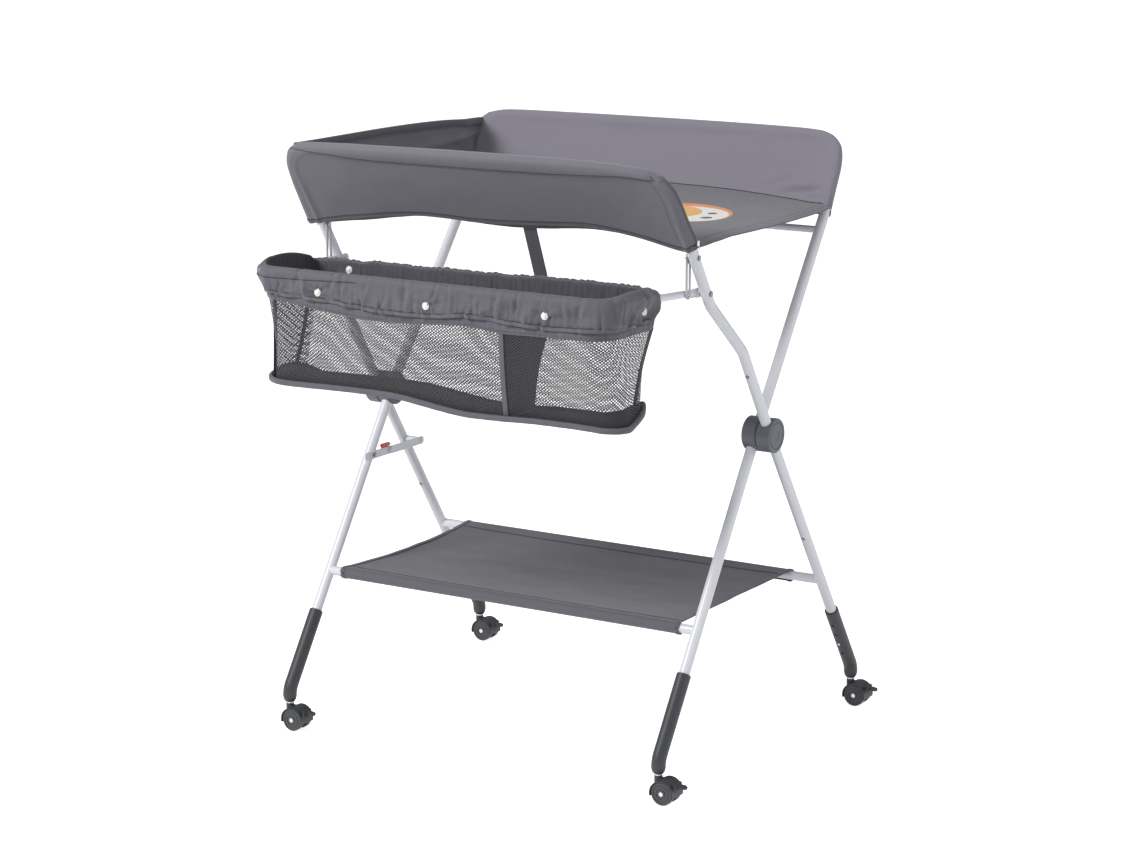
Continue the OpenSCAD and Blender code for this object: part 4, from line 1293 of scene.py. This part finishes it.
    def creases(self, down: float) -> Points:
        """Draws the sharper creases that the gathered seams draw across the sleeve.

        Most of them start at its top and fade out; the others start at its hem.

        Args:
            down: the share of the way down it.

        Returns:
            How far they lift each column.
        """
        run = self.run()
        first, whole = run.min(), run.max() - run.min()
        total = np.zeros(self.count)
        from_top, from_hem = max(1 - down * 1.05, 0.0) ** 0.5, min(max((down - 0.35) / 0.4, 0.0), 1.0)
        for k in range(self.crease_count):
            at = first + whole * (k + 0.5 + 0.4 * math.sin(2.4 * k)) / self.crease_count
            lean = 1.1 * math.sin(1.7 * k) - 0.9
            width = 0.30 + 0.25 * (0.5 + 0.5 * math.sin(5.3 * k))
            deep = 0.20 + 0.20 * (0.5 + 0.5 * math.sin(3.1 * k))
            fade = from_top if math.sin(4.1 * k) > -0.25 else from_hem
            off = (run - at - lean * (down - 0.5)) / width
            total += fade * deep * (0.75 * np.exp(-((off - 1.7) / 1.2) ** 2) - np.exp(-off**2))
        return total

    def front_snaps(self) -> list[Snap]:
        """Returns the snaps that can be seen to pull at the sleeve."""
        return [snap for snap in self.snap_places if snap.wall is Wall.FRONT]

    def clear_of_snaps(self, z: Points) -> Points:
        """Tells loose cloth from cloth that a snap holds flat.

        Args:
            z: the height of the cloth at each column.

        Returns:
            1 on loose cloth, falling to 0 at a snap.
        """
        x, y = self.rim_loop().T
        total = np.ones(self.count)
        for snap in self.front_snaps():
            off = (x - snap.at) ** 2 + (z - snap.height) ** 2
            total *= np.where(y < self.front_y, 1 - np.exp(-(off / 1.2)), 1.0)
        return total * (1 - 0.8 * np.exp(-(((x - 34) ** 2 + (y + 34) ** 2) / 9.0)))

    def gathers(self, seed: float) -> Points:
        """Draws narrow puckers of uneven strength, as elastic or a gathered seam draws them.

        Args:
            seed: picks one pattern of them.

        Returns:
            How far they lift each column.
        """
        run = self.run()
        phase = run * 5.0 + 2.6 * ripple(run, run * 0, 0.3, seed) + 1.4 * ripple(run, run * 0, 0.9, seed + 3)
        strength = np.clip(0.65 + 1.1 * ripple(run, run * 0, 0.45, seed + 6), 0.15, 1.2)
        return (np.abs(np.sin(phase / 2)) ** 0.6 * 2 - 1) * strength

    def pulls(self, z: Points) -> Points:
        """Draws the short creases that run from each snap up and down the sleeve.

        Args:
            z: the height of the cloth at each column.

        Returns:
            How far they lift the cloth.
        """
        x, y = self.rim_loop().T
        total = np.zeros(self.count)
        for snap in self.front_snaps():
            dx, dz = x - snap.at, z - snap.height
            reach = np.hypot(dx, dz)
            turn = np.arctan2(dz, dx)
            crease = np.cos(7 * turn + snap.at) * np.exp(-reach / 2.4) * (1 - np.exp(-(reach / 0.7) ** 2))
            total += np.where((y < self.front_y) & (turn > -0.3), crease, 0.0)
        return total

    def band_points(self) -> Points:
        """Shapes the sleeve in four bands of rows: inside, over the tube, outside and back up under the hem.

        Returns:
            Its grid of points, from its inner edge over the rim to its lower outer edge.
        """
        path = self.rim_loop()
        out, rear = self.outward(path), self.is_rear()
        x = path[:, 0]
        left, right = self.end()
        along = np.clip((path[:, 1] + 42) / 16.5, 0, 1)
        arch = (1 - rear) * np.sin(math.pi * along) ** 0.8 * (1.45 * left + 0.85 * right)
        hem = ease(x, self.hem) * (1 - rear) + self.rear_hem * rear
        net_top = ease(x, self.net_top) * (1 - rear) + self.rear_net_top * rear
        crest = (81.5 - along * (0.9 * left + 0.6 * right)) * (1 - rear) + ease(x, self.rear_top) * rear
        small, fine = self.gathers(4.0), self.gathers(11.0)
        crest = crest + rear * (0.13 * small + 0.10 * ripple(self.run(), x * 0, 0.35, 8.0))
        tuck = -1.95 * left - 0.80 * right
        calm = 1 - 0.7 * left
        rows = []
        for f in np.linspace(1, 0.05, INNER_ROWS):
            big = self.big_folds(1.5 + f)
            n = (-0.78 - 0.45 * f + 0.34 * big * f + (0.05 + rear * (0.05 + 0.06 * f)) * fine
                 + 0.5 * self.creases(f) * f * rear)
            top = crest - 0.72 + arch * 0.9
            rows.append((n, top - (top - net_top) * f))
        for a in np.radians(np.linspace(16, 164, CREST_ROWS)):
            n = -0.80 * math.cos(a) * (1 - 0.12 * rear * math.sin(a))
            lift = arch * min(max(0.45 + 0.9 * math.cos(a), 0.0), 1.0)
            bump = self.creases(0.0) * (0.5 - 0.5 * math.cos(a)) * (1 - 0.5 * left)
            z = crest - 0.72 + 0.72 * math.sin(a) + lift + 0.5 * bump * math.sin(a)
            rows.append((n + 0.05 * fine * rear + 0.5 * bump, z))
        for f in np.linspace(0.04, 1, OUTER_ROWS):
            z = crest - 0.75 - (crest - 0.75 - hem) * f
            big = self.big_folds(f)
            low = max(0.0, (f - 0.28) / 0.72) ** 1.2
            n = (0.80 + 0.05 * math.sin(math.pi * f) + tuck * low
                 + (0.02 + 0.42 * min(1.0, 1.5 * f)) * big * (1 - 0.4 * rear) * calm)
            sewn = 1 - 0.75 * min(max((f - 0.86) / 0.14, 0.0), 1.0)
            n = n + (0.02 + 0.24 * f**1.8) * sewn * small * calm + 0.08 * rear * fine
            n = n + 0.45 * self.pulls(z) * min(max((f - 0.3) / 0.2, 0.0), 1.0)
            n = n + self.creases(f) * min(1.0, 5 * f) * (1 - 0.5 * left) * self.clear_of_snaps(z)
            rows.append((n, z))
        last = rows[-1][0]
        rows.append((last - 0.16, hem - 0.06))
        rows.append((last - 0.34 + 0.04 * small, hem + 0.10))
        for f in np.linspace(0.15, 1, 7):
            bulge = math.sin(math.pi * f)
            big = self.big_folds(2.0 + 0.2 * f)
            n = 0.50 + tuck * 1.05 + 0.16 * bulge + 0.05 * big * bulge + 0.10 * fine * (1 - 0.5 * f)
            rows.append((n, hem + 0.05 - (hem + 0.05 - net_top) * f))
        return np.stack([np.column_stack((path + out * n[:, None], z)) for n, z in rows])

    def wall(self, rows: int = 30) -> Points:
        """Shapes the walls.

        Args:
            rows: points down them.

        Returns:
            Their grid of points, from under the sleeve to the base.
        """
        top, foot = self.rim_loop(), self.foot_loop()
        out, rear, run = self.outward(top), self.is_rear(), self.run()
        left, right = self.end()
        side = np.maximum(left, right) * (1 - rear)
        top = top + out * (0.42 - 2.05 * left - 0.85 * right)[:, None]
        foot = foot - self.outward(foot) * 0.35
        high = (ease(top[:, 0], self.net_top) * (1 - rear) + self.rear_net_top * rear) + 0.25
        low = self.foot_height(foot) + 0.15
        rows_out = []
        for v in np.linspace(0, 1, rows):
            bulge = math.sin(math.pi * v)
            bend = v + (0.22 * rear + 0.10 * right * (1 - rear) - 0.10 * left * (1 - rear)) * bulge
            xy = top * (1 - bend)[:, None] + foot * bend[:, None]
            belly = 0.30 * bulge * (1 - rear) * (1 - side) + 0.07 * bulge * np.sin(run * 0.5)
            rows_out.append(np.column_stack((xy + out * belly[:, None], high * (1 - v) + low * v)))
        return np.stack(rows_out)

    def foot_height(self, path: Points) -> Points:
        """Finds the height of the base's edge, whose ends curl up like a hammock.

        Args:
            path: the loop of the edge, seen from above.

        Returns:
            The height at each of its points.
        """
        x, y = path[:, 0], path[:, 1]
        left = np.clip((-x - 28) / 4, 0, 1) * np.clip((y + 39.0) / 4.2, 0, 1) ** 1.1 * 0.9
        right = np.clip((x - 28) / 5, 0, 1) * np.clip((y + 37.6) / 5.6, 0, 1) ** 1.3 * 2.8
        return ease(x, self.foot) + left + right

    def sample(self, walls: Points, u: Points, v: Points) -> Points:
        """Reads points between those of the walls' grid.

        Args:
            walls: the grid.
            u: shares of the way round the loop.
            v: shares of the way down.

        Returns:
            The points.
        """
        rows, cols = walls.shape[:2]
        a, b = (u % 1) * cols, np.clip(v, 0, 1) * (rows - 1)
        i, j = np.minimum(b.astype(int), rows - 2), a.astype(int) % cols
        k = (j + 1) % cols
        fa, fb = (a - a.astype(int))[..., None], (b - i)[..., None]
        low = walls[i, j] * (1 - fa) + walls[i, k] * fa
        high = walls[i + 1, j] * (1 - fa) + walls[i + 1, k] * fa
        return low * (1 - fb) + high * fb

    def net(self, name: str, walls: Points, ends: tuple[float, float], cell: tuple[float, float],
            thread: float) -> Piece:
        """Knots one stretch of net: staggered diamonds with open middles.

        Args:
            name: the piece's name.
            walls: the grid that the net follows.
            ends: where the stretch starts and ends round the loop, as shares of it.
            cell: width and height of one diamond.
            thread: share of a diamond's width that is thread.

        Returns:
            The net.
        """
        around = lengths(walls[12])[-1]
        span = ends[1] - ends[0]
        nu, nv = int(around * span / cell[0]), int(self.net_height / cell[1])
        ring = np.array(((0.5, 0.0), (0.0, 0.5), (-0.5, 0.0), (0.0, -0.5)))
        j, i = np.meshgrid(np.arange(2 * nv), np.arange(nu), indexing="ij")
        u = ends[0] + span * (i + 0.25 + 0.5 * (j % 2)) / nu
        v = (j + 1) / (2 * nv + 1)
        centres = np.stack((u.ravel(), v.ravel()), axis=1)
        size = np.array((span / nu, 2 / (2 * nv + 1)))
        outer = centres[:, None] + ring[None] * size
        inner = centres[:, None] + ring[None] * size * (1 - thread)
        both = np.concatenate((outer, inner), axis=1)
        points = self.sample(walls, both[..., 0], both[..., 1])
        faces = []
        for k in range(len(centres)):
            a = k * 8
            faces += [(a + m, a + (m + 1) % 4, a + 4 + (m + 1) % 4, a + 4 + m) for m in range(4)]
        flat = both.reshape(-1, 2) * (around / 100, self.net_height / 100)
        piece = new_object(name, points, faces, NET, self.body, flat)
        declare_sheet(piece)
        return piece

    def build(self) -> None:
        """Makes the whole basket."""
        band = self.band_points()
        sleeve = grid("basket_rim_sleeve", band, BASKET_CLOTH, self.body, closed=True)
        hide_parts("basket_band")
        # A darker copy of the sleeve's inner rows, set just inside them: painted shade on the inside of the
        # sleeve.
        inside = band[:INNER_ROWS + 2] - self.outward_level(self.rim_loop()) * 0.05 + UP * 0.02
        lining = grid("basket_rim_painted_shade", inside, BASKET_PAINTED_SHADE_CLOTH, self.body, closed=True)
        trims = self.trim(band)
        declare_sheet(sleeve)
        walls = self.wall()
        rear = np.where(self.is_rear() > 0.5)[0]
        last = rear[rear < self.count // 2].max() / self.count
        first = rear[rear > self.count // 2].min() / self.count
        front = self.net("basket_net_front", walls, (last, first), (0.64, 0.44), 0.40)
        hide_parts("basket_net")
        self.net("basket_net_rear", walls, (first, 1 + last), (0.62, 0.62), 0.20)
        self.bindings(walls)
        self.base()
        self.divider(walls)
        self.snaps()

    def trim(self, band: Points) -> list[Piece]:
        """Adds the sleeve's edge seam, its hem and the binding over the net's top.

        Args:
            band: the sleeve's grid of points.

        Returns:
            The trims.
        """
        path = self.rim_loop()
        out = self.outward_level(path)
        front = np.where(self.is_rear() < 0.02)[0]
        left = front[path[front, 0] < -12.5]
        depth = np.clip((-12.5 - path[left, 0]) / 16, 0, 1)[:, None]
        edge = band[EDGE_ROW][left] * (1 - depth) + band[EDGE_ROW + 3][left] * depth
        hem, net, away = band[HEM_ROW][front], band[-1][front], out[front]
        pieces = [
            tape("basket_edge_seam", edge + out[left] * 0.02, out[left], (0.16, 0.10), THREAD, self.body),
            tape("basket_hem_fold", hem + away * 0.08 + UP * 0.24, away, (0.64, 0.26), BASKET_CLOTH, self.body),
            tape("basket_hem_seam", hem + away * 0.08 + UP * 0.60, away, (0.14, 0.12), THREAD, self.body),
            tape("basket_net_binding", net + away * 0.03 + UP * 0.20, away, (0.56, 0.16), BINDING, self.body),
            stitches("basket_hem_stitches", hem + away * 0.16 + UP * 0.52, away, self.body, 0.36),
            stitches("basket_net_stitches", net + away * 0.12 + UP * 0.36, away, self.body, 0.40)]
        return pieces

    def bindings(self, walls: Points) -> None:
        """Adds the dark tapes down the corners of the net.

        Args:
            walls: the grid that the net follows.
        """
        top = self.rim_loop()
        for name, x, y in CORNER_TAPES:
            at = int(np.argmin(np.hypot(top[:, 0] - x, top[:, 1] - y)))
            side = np.array((math.copysign(1.0, x), 0.0, 0.0))
            piece = tape(f"basket_corner_binding_{name}", walls[:, at] + side * 0.05, side, (1.0, 0.16),
                         DARK_CLOTH, self.body)

    def base(self) -> None:
        """Makes the base cloth and the thick piping round it."""
        foot = self.foot_loop()
        z = self.foot_height(foot)
        middle = np.array((1.0, -35.8))
        rows = []
        for k in np.linspace(1, 0.0, 16):
            xy = middle + (foot - middle) * k
            inner = ease(xy[:, 0], self.foot)
            rows.append(np.column_stack((xy, inner * (1 - k**5) + z * k**5 - 0.1)))
        floor = grid("basket_base_cloth", np.stack(rows), DARK_CLOTH, self.body, closed=True)
        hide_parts("basket_base")
        out = self.outward_level(foot)
        lumps = 0.04 * np.sin(self.run() * 1.7 + np.sin(self.run() * 0.6))
        path = np.column_stack((foot, z)) + out * (0.32 + lumps)[:, None]
        welt = tape("basket_base_piping", path, out, (0.95, 0.60), BASKET_CLOTH, self.body, closed=True)
        across = np.ptp(foot, axis=0) / 100
        declare_sheet(floor, (float(across[0]), float(across[1])))

    def divider(self, walls: Points) -> None:
        """Makes the divider and the binding where it meets the front.

        Args:
            walls: the grid that the net follows.
        """
        top = self.rim_loop()
        off = top[:, 0] - self.divider_x
        front = nearest_column(off, top[:, 1] > self.middle_y)
        rear = nearest_column(off, top[:, 1] < self.middle_y)
        a, b = walls[:, front], walls[:, rear]
        w = np.linspace(0, 1, 24)[None, :, None]
        p = a[:, None] * (1 - w) + b[:, None] * w
        w, height = w[..., 0], np.linspace(1, 0, len(a))[:, None]
        p[..., 0] += 0.25 * ripple(p[..., 1], p[..., 2], 0.2, 2.0) * 4 * w * (1 - w)
        p[..., 2] += height**6 * 0.5
        p[..., 2] -= height**2 * 2.2 * (4 * w * (1 - w))
        sheet = grid("basket_divider_cloth", p, DARK_CLOTH, self.body)
        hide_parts("basket_divider")
        out = np.array((0.0, -1.0, 0.0))
        tie = tape("basket_divider_binding", a + out * 0.12, out, (0.95, 0.16), BASKET_CLOTH, self.body)
        declare_sheet(sheet)

    def snap_seat(self, snap: Snap, band: Points) -> tuple[Points, Points]:
        """Finds where a snap sits on the sleeve.

        Args:
            snap: the snap.
            band: the sleeve's grid of points.

        Returns:
            Its centre and the direction that it faces.
        """
        (x, y), rows = self.rim_loop().T, slice(EDGE_ROW, HEM_ROW)
        if snap.wall is Wall.FRONT:
            off, elsewhere, out = x - snap.at, y > self.front_y, np.array((0.0, -1.0, 0.05))
        elif snap.wall is Wall.RIGHT:
            off, elsewhere, out = y - snap.at, x < self.right_x, np.array((1.0, -0.1, 0.05))
        else:
            off, elsewhere, out = x - snap.at, self.is_rear() <= 0.5, np.array((0.0, -1.0, 0.1))
            rows = slice(0, INNER_ROWS)
        strip = band[rows, nearest_column(off, elsewhere)]
        return strip[int(np.argmin(np.abs(strip[:, 2] - snap.height)))], out / np.linalg.norm(out)

    def snaps(self) -> None:
        """Makes the snaps: a domed cap in a rolled ring, with a dimple in the cloth."""
        band, sides = self.band_points(), 28
        turns = np.linspace(0, 2 * math.pi, sides, endpoint=False)
        points, faces = [], []
        for snap in self.snap_places:
            centre, out = self.snap_seat(snap, band)
            side = np.cross(out, UP)
            side /= np.linalg.norm(side)
            up = np.cross(side, out)
            start = len(points)
            for radius, height in SNAP_PROFILE:
                middle = centre + out * height
                points += [middle + side * (radius * math.cos(turn)) + up * (radius * math.sin(turn))
                           for turn in turns]
            for i in range(len(SNAP_PROFILE) - 1):
                ring, following = start + i * sides, start + (i + 1) * sides
                for k in range(sides):
                    n = (k + 1) % sides
                    faces.append((ring + k, following + k, following + n, ring + n))
        caps = new_object("basket_snap_caps", np.array(points), faces, SNAP, self.body)
        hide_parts("basket_snaps")


# ---------------------------------------------------------------- shelf


@dataclass
class Shelf:
    """The cloth shelf: sleeves on its two tubes and a sheet that sags between them."""

    half: float = 32.9
    front: float = -19.06
    rear: float = 19.06
    z: float = 25.0
    tube: float = 0.8

    def section(self, rows: int = 70) -> Points:
        """Draws the path of the cloth from under the front tube over both to under the rear one.

        Args:
            rows: points between the two tubes.

        Returns:
            Its points as Y and Z.
        """
        r = self.tube + 0.2
        wrap = np.radians(np.linspace(-70, -270, 14))
        front = np.stack((self.front + r * np.cos(wrap), self.z + r * np.sin(wrap)), axis=1)
        back = np.stack((self.rear - r * np.cos(wrap[::-1]), self.z + r * np.sin(wrap[::-1])), axis=1)
        w = np.linspace(0, 1, rows)[1:-1]
        flat = np.stack((self.front + (self.rear - self.front) * w, np.full(len(w), self.z + r)), axis=1)
        return np.vstack((front, flat, back))

    def build(self) -> None:
        """Makes the shelf cloth, its sleeve seams and bound ends."""
        section = self.section()
        y = section[:, 0]
        x = np.linspace(-1, 1, 130)
        inside = np.clip(1 - (y / self.rear) ** 2, 0, 1)
        p = np.zeros((len(section), len(x), 3))
        p[..., 0] = (self.half - 0.9 * inside)[:, None] * x[None]
        p[..., 1:] = section[:, None]
        across = np.cos(x * math.pi / 2) ** 0.5
        p[..., 2] -= (inside[:, None] ** 0.8) * (0.5 + 1.0 * across[None])
        p[..., 2] += 0.10 * ripple(p[..., 0] * 0.6, p[..., 1], 0.2, 7.0) * inside[:, None]
        cloth = grid("shelf_cloth", p, SHELF_CLOTH, "")
        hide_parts("shelf_sling")
        trims = []
        for name, at in (("front", self.front + 1.3), ("rear", self.rear - 2.6)):
            line = p[int(np.argmin(np.abs(y - at))), 1:-1]
            trims.append(tape(f"shelf_{name}_seam", line + UP * 0.02, UP, (0.14, 0.10), THREAD, ""))
            trims.append(stitches(f"shelf_{name}_stitches", line + UP * 0.03 + np.array((0, 0.22, 0)), UP, ""))
        for name, column in (("left", 0), ("right", -1)):
            up = UP + np.array((0.02, 0, 0))
            trims.append(tape(f"shelf_{name}_hem", p[:, column], up, (0.9, 0.22), BINDING, ""))
        span_frames((cloth, *trims))
        declare_sheet(cloth)


# ---------------------------------------------------------------- hard parts and studio


NODE_FINISHES = (
    (("wheels_",), TYRE_PLASTIC), (("foot_", "housing_", "brake_"), GREY_PLASTIC),
    (("rear_height", "front_height", "stem_axle_"), STEEL), (("basket_links",), LINK_GREY),
    (("basket_snaps",), SNAP), (("lock_release",), RED_PLASTIC))


@dataclass
class HardParts:
    """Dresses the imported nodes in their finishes."""

    nodes: dict

    def finish_of(self, name: str) -> Finish:
        """Chooses the finish of a node, by what it is.

        Args:
            name: the node's name.

        Returns:
            Its finish.
        """
        if name.endswith("_hubs") or name == "hub_bolts":
            return HUB_PLASTIC
        if name.endswith("_fasteners"):
            return DARK_STEEL
        return next((finish for starts, finish in NODE_FINISHES if name.startswith(starts)), WHITE_TUBE)

    def dress(self) -> None:
        """Gives every node its finish."""
        for name, node in self.nodes.items():
            material = self.finish_of(name).material()
            if not node.material_slots:
                node.data.materials.append(material)
            for slot in node.material_slots:
                slot.material = material
            LOG.info("%s: %s", name, material.name)


@dataclass
class Studio:
    """Camera, floor, backdrop and lamps."""

    azimuth: float = 31.80
    height: float = 12.20
    distance: float = 5.018
    target: Place = (0.0038, 0.0036, 0.5056)
    roll: float = -0.1
    lens: float = 93.58

    def camera(self) -> None:
        """Sets the camera at the viewing angle."""
        az, el = math.radians(self.azimuth), math.radians(self.height)
        back = Vector((math.sin(az) * math.cos(el), -math.cos(az) * math.cos(el), math.sin(el)))
        aim = Vector(self.target) + Vector(HUB_SHIFT.tolist())
        data = bpy.data.cameras.new("camera")
        data.lens, data.sensor_width, data.sensor_fit = self.lens, 36.0, "HORIZONTAL"
        data.clip_end = 60
        camera = bpy.data.objects.new("camera", data)
        turn = back.to_track_quat("Z", "Y").to_matrix().to_4x4() @ Matrix.Rotation(math.radians(self.roll), 4, "Z")
        camera.matrix_world = Matrix.Translation(aim + back * self.distance) @ turn
        bpy.context.scene.collection.objects.link(camera)
        bpy.context.scene.camera = camera

    def floor(self) -> None:
        """Lays the pale floor, which looks white from the camera and in gloss."""
        mesh = bpy.data.meshes.new("studio_floor")
        reach, drop = 20, -0.0005
        corners = [(-reach, -reach, drop), (reach, -reach, drop), (reach, reach, drop), (-reach, reach, drop)]
        mesh.from_pydata(corners, [], [(0, 1, 2, 3)])
        shader = Shader("studio_white")
        for name, value in (("Roughness", 0.9), ("Base Color", (0.9, 0.9, 0.9, 1)), ("Specular IOR Level", 0.1)):
            shader.skin.inputs[name].default_value = value
        glow = shader.add("ShaderNodeEmission", {"Color": (1, 1, 1, 1), "Strength": 0.80})
        path = shader.add("ShaderNodeLightPath")
        seen = shader.math("MAXIMUM", path.outputs["Is Camera Ray"], path.outputs["Is Glossy Ray"])
        both = shader.add("ShaderNodeAddShader")
        mixed = shader.add("ShaderNodeMixShader")
        plain, surface = shader.skin.outputs[0], shader.output.inputs["Surface"]
        for start, end in ((plain, both.inputs[0]), (glow.outputs[0], both.inputs[1]), (seen, mixed.inputs[0]),
                           (plain, mixed.inputs[1]), (both.outputs[0], mixed.inputs[2]),
                           (mixed.outputs[0], surface)):
            shader.join(start, end)
        mesh.materials.append(shader.material)
        floor = bpy.data.objects.new("studio_floor", mesh)
        bpy.context.scene.collection.objects.link(floor)

    def backdrop(self) -> None:
        """Sets the world: soft pale light, and white behind the object."""
        world_data = bpy.data.worlds.new("studio")
        bpy.context.scene.world = world_data
        world_data.use_nodes = True
        tree = world_data.node_tree
        tree.nodes.clear()
        kinds = ("OutputWorld", "Background", "Background", "LightPath", "Math", "MixShader")
        out, soft, seen, path, either, mix = [tree.nodes.new(f"ShaderNode{kind}") for kind in kinds]
        soft.inputs[0].default_value = (0.93, 0.95, 1.0, 1)
        soft.inputs[1].default_value = 0.46
        seen.inputs[0].default_value = (1, 1, 1, 1)
        either.operation = "MAXIMUM"
        for start, end in ((path.outputs["Is Camera Ray"], either.inputs[0]),
                           (path.outputs["Is Transmission Ray"], either.inputs[1]),
                           (either.outputs[0], mix.inputs[0]), (soft.outputs[0], mix.inputs[1]),
                           (seen.outputs[0], mix.inputs[2]), (mix.outputs[0], out.inputs[0])):
            tree.links.new(start, end)

    def lamp(self, name: str, place: Place, size: float, power: float) -> None:
        """Hangs one square soft box that faces the object.

        Args:
            name: the lamp's name.
            place: where it hangs, in metres.
            size: the length of its side.
            power: its power in watts.
        """
        data = bpy.data.lights.new(name, "AREA")
        data.shape, data.size, data.energy = "SQUARE", size, power
        lamp = bpy.data.objects.new(name, data)
        turn = (Vector(place) - Vector((0, 0, 0.55))).to_track_quat("Z", "Y").to_matrix().to_4x4()
        lamp.matrix_world = Matrix.Translation(Vector(place)) @ turn
        bpy.context.scene.collection.objects.link(lamp)

    def build(self) -> None:
        """Sets up the whole studio."""
        bpy.context.scene.view_settings.view_transform = "Standard"
        self.camera()
        self.floor()
        self.backdrop()
        self.lamp("key_softbox", (-1.5, -2.8, 2.85), 1.3, 108.0)
        self.lamp("fill_softbox", (2.8, -2.2, 1.6), 2.4, 10.0)
        self.lamp("top_softbox", (0.3, -0.4, 3.4), 2.0, 10.0)
        self.lamp("side_softbox", (3.1, 0.7, 1.3), 1.6, 17.0)


# ---------------------------------------------------------------- the rims' edges, and the whole

FRONT_OUTLINE = ((-38.3, 85.8), (-38.2, 88.0), (-38.0, 91.6), (-37.65, 94.6), (-37.15, 96.6), (-36.1, 98.3),
                 (-34.4, 99.4), (-31.5, 99.95), (-17.0, 100.2), (-1.0, 100.4), (19.0, 100.35), (24.0, 100.25),
                 (31.1, 99.8), (33.6, 99.15), (35.2, 98.1), (36.2, 96.6), (36.6, 94.6), (36.8, 91.0),
                 (37.2, 87.4))
FRONT_HEM = ((-38.3, 85.8), (-33.0, 86.4), (-27.0, 87.1), (-20.0, 88.0), (-14.0, 88.5), (-8.0, 88.4),
             (-3.0, 88.2), (8.0, 88.6), (18.0, 89.1), (26.7, 88.1), (33.8, 86.7), (37.2, 87.4))
FRONT_INNER = ((-38.0, 87.5), (-34.0, 88.2), (-20.0, 89.2), (0.0, 89.4), (20.0, 89.4), (30.0, 88.5),
               (37.2, 87.6))
REAR_OUTLINE = ((-36.9, 87.0), (-36.95, 91.0), (-36.95, 94.8), (-36.75, 97.0), (-36.1, 98.4), (-34.8, 99.2),
                (-32.9, 99.6), (-29.0, 100.0), (-18.0, 100.2), (7.0, 100.3), (24.0, 100.2), (30.8, 100.0),
                (33.2, 99.6), (34.9, 98.8), (36.2, 97.3), (36.75, 94.6), (36.65, 90.8), (36.5, 86.6))
REAR_HEM = ((-36.9, 87.0), (-30.0, 87.3), (-15.0, 88.2), (0.0, 88.6), (15.0, 88.3), (30.0, 87.2), (36.5, 86.6))
REAR_INNER = ((-36.9, 87.9), (-25.0, 89.2), (-8.0, 89.6), (5.5, 89.6), (20.0, 89.2), (36.6, 87.9))


def main() -> None:
    """Builds the looks in order."""
    logging.basicConfig(level=logging.INFO, format="%(message)s")
    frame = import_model()
    Studio().build()
    HardParts(frame["nodes"]).dress()
    front = FrontRim(Side.FRONT, "outer_frame", "front_panel", (-20.28, 85.9), 33.6, FRONT_OUTLINE, FRONT_HEM,
                     FRONT_INNER)
    rear = RimCase(Side.REAR, "inner_frame", "rear_panel", (24.58, 86.8), 23.9, REAR_OUTLINE, REAR_HEM, REAR_INNER)
    front.build()
    front.dress()
    rear.build()
    surface = LyingSurface(front, rear)
    surface.build()
    HeadPanel(front, rear, surface).build()
    Strap().build()
    Basket().build()
    Shelf().build()


if __name__ == "__main__":
    main()
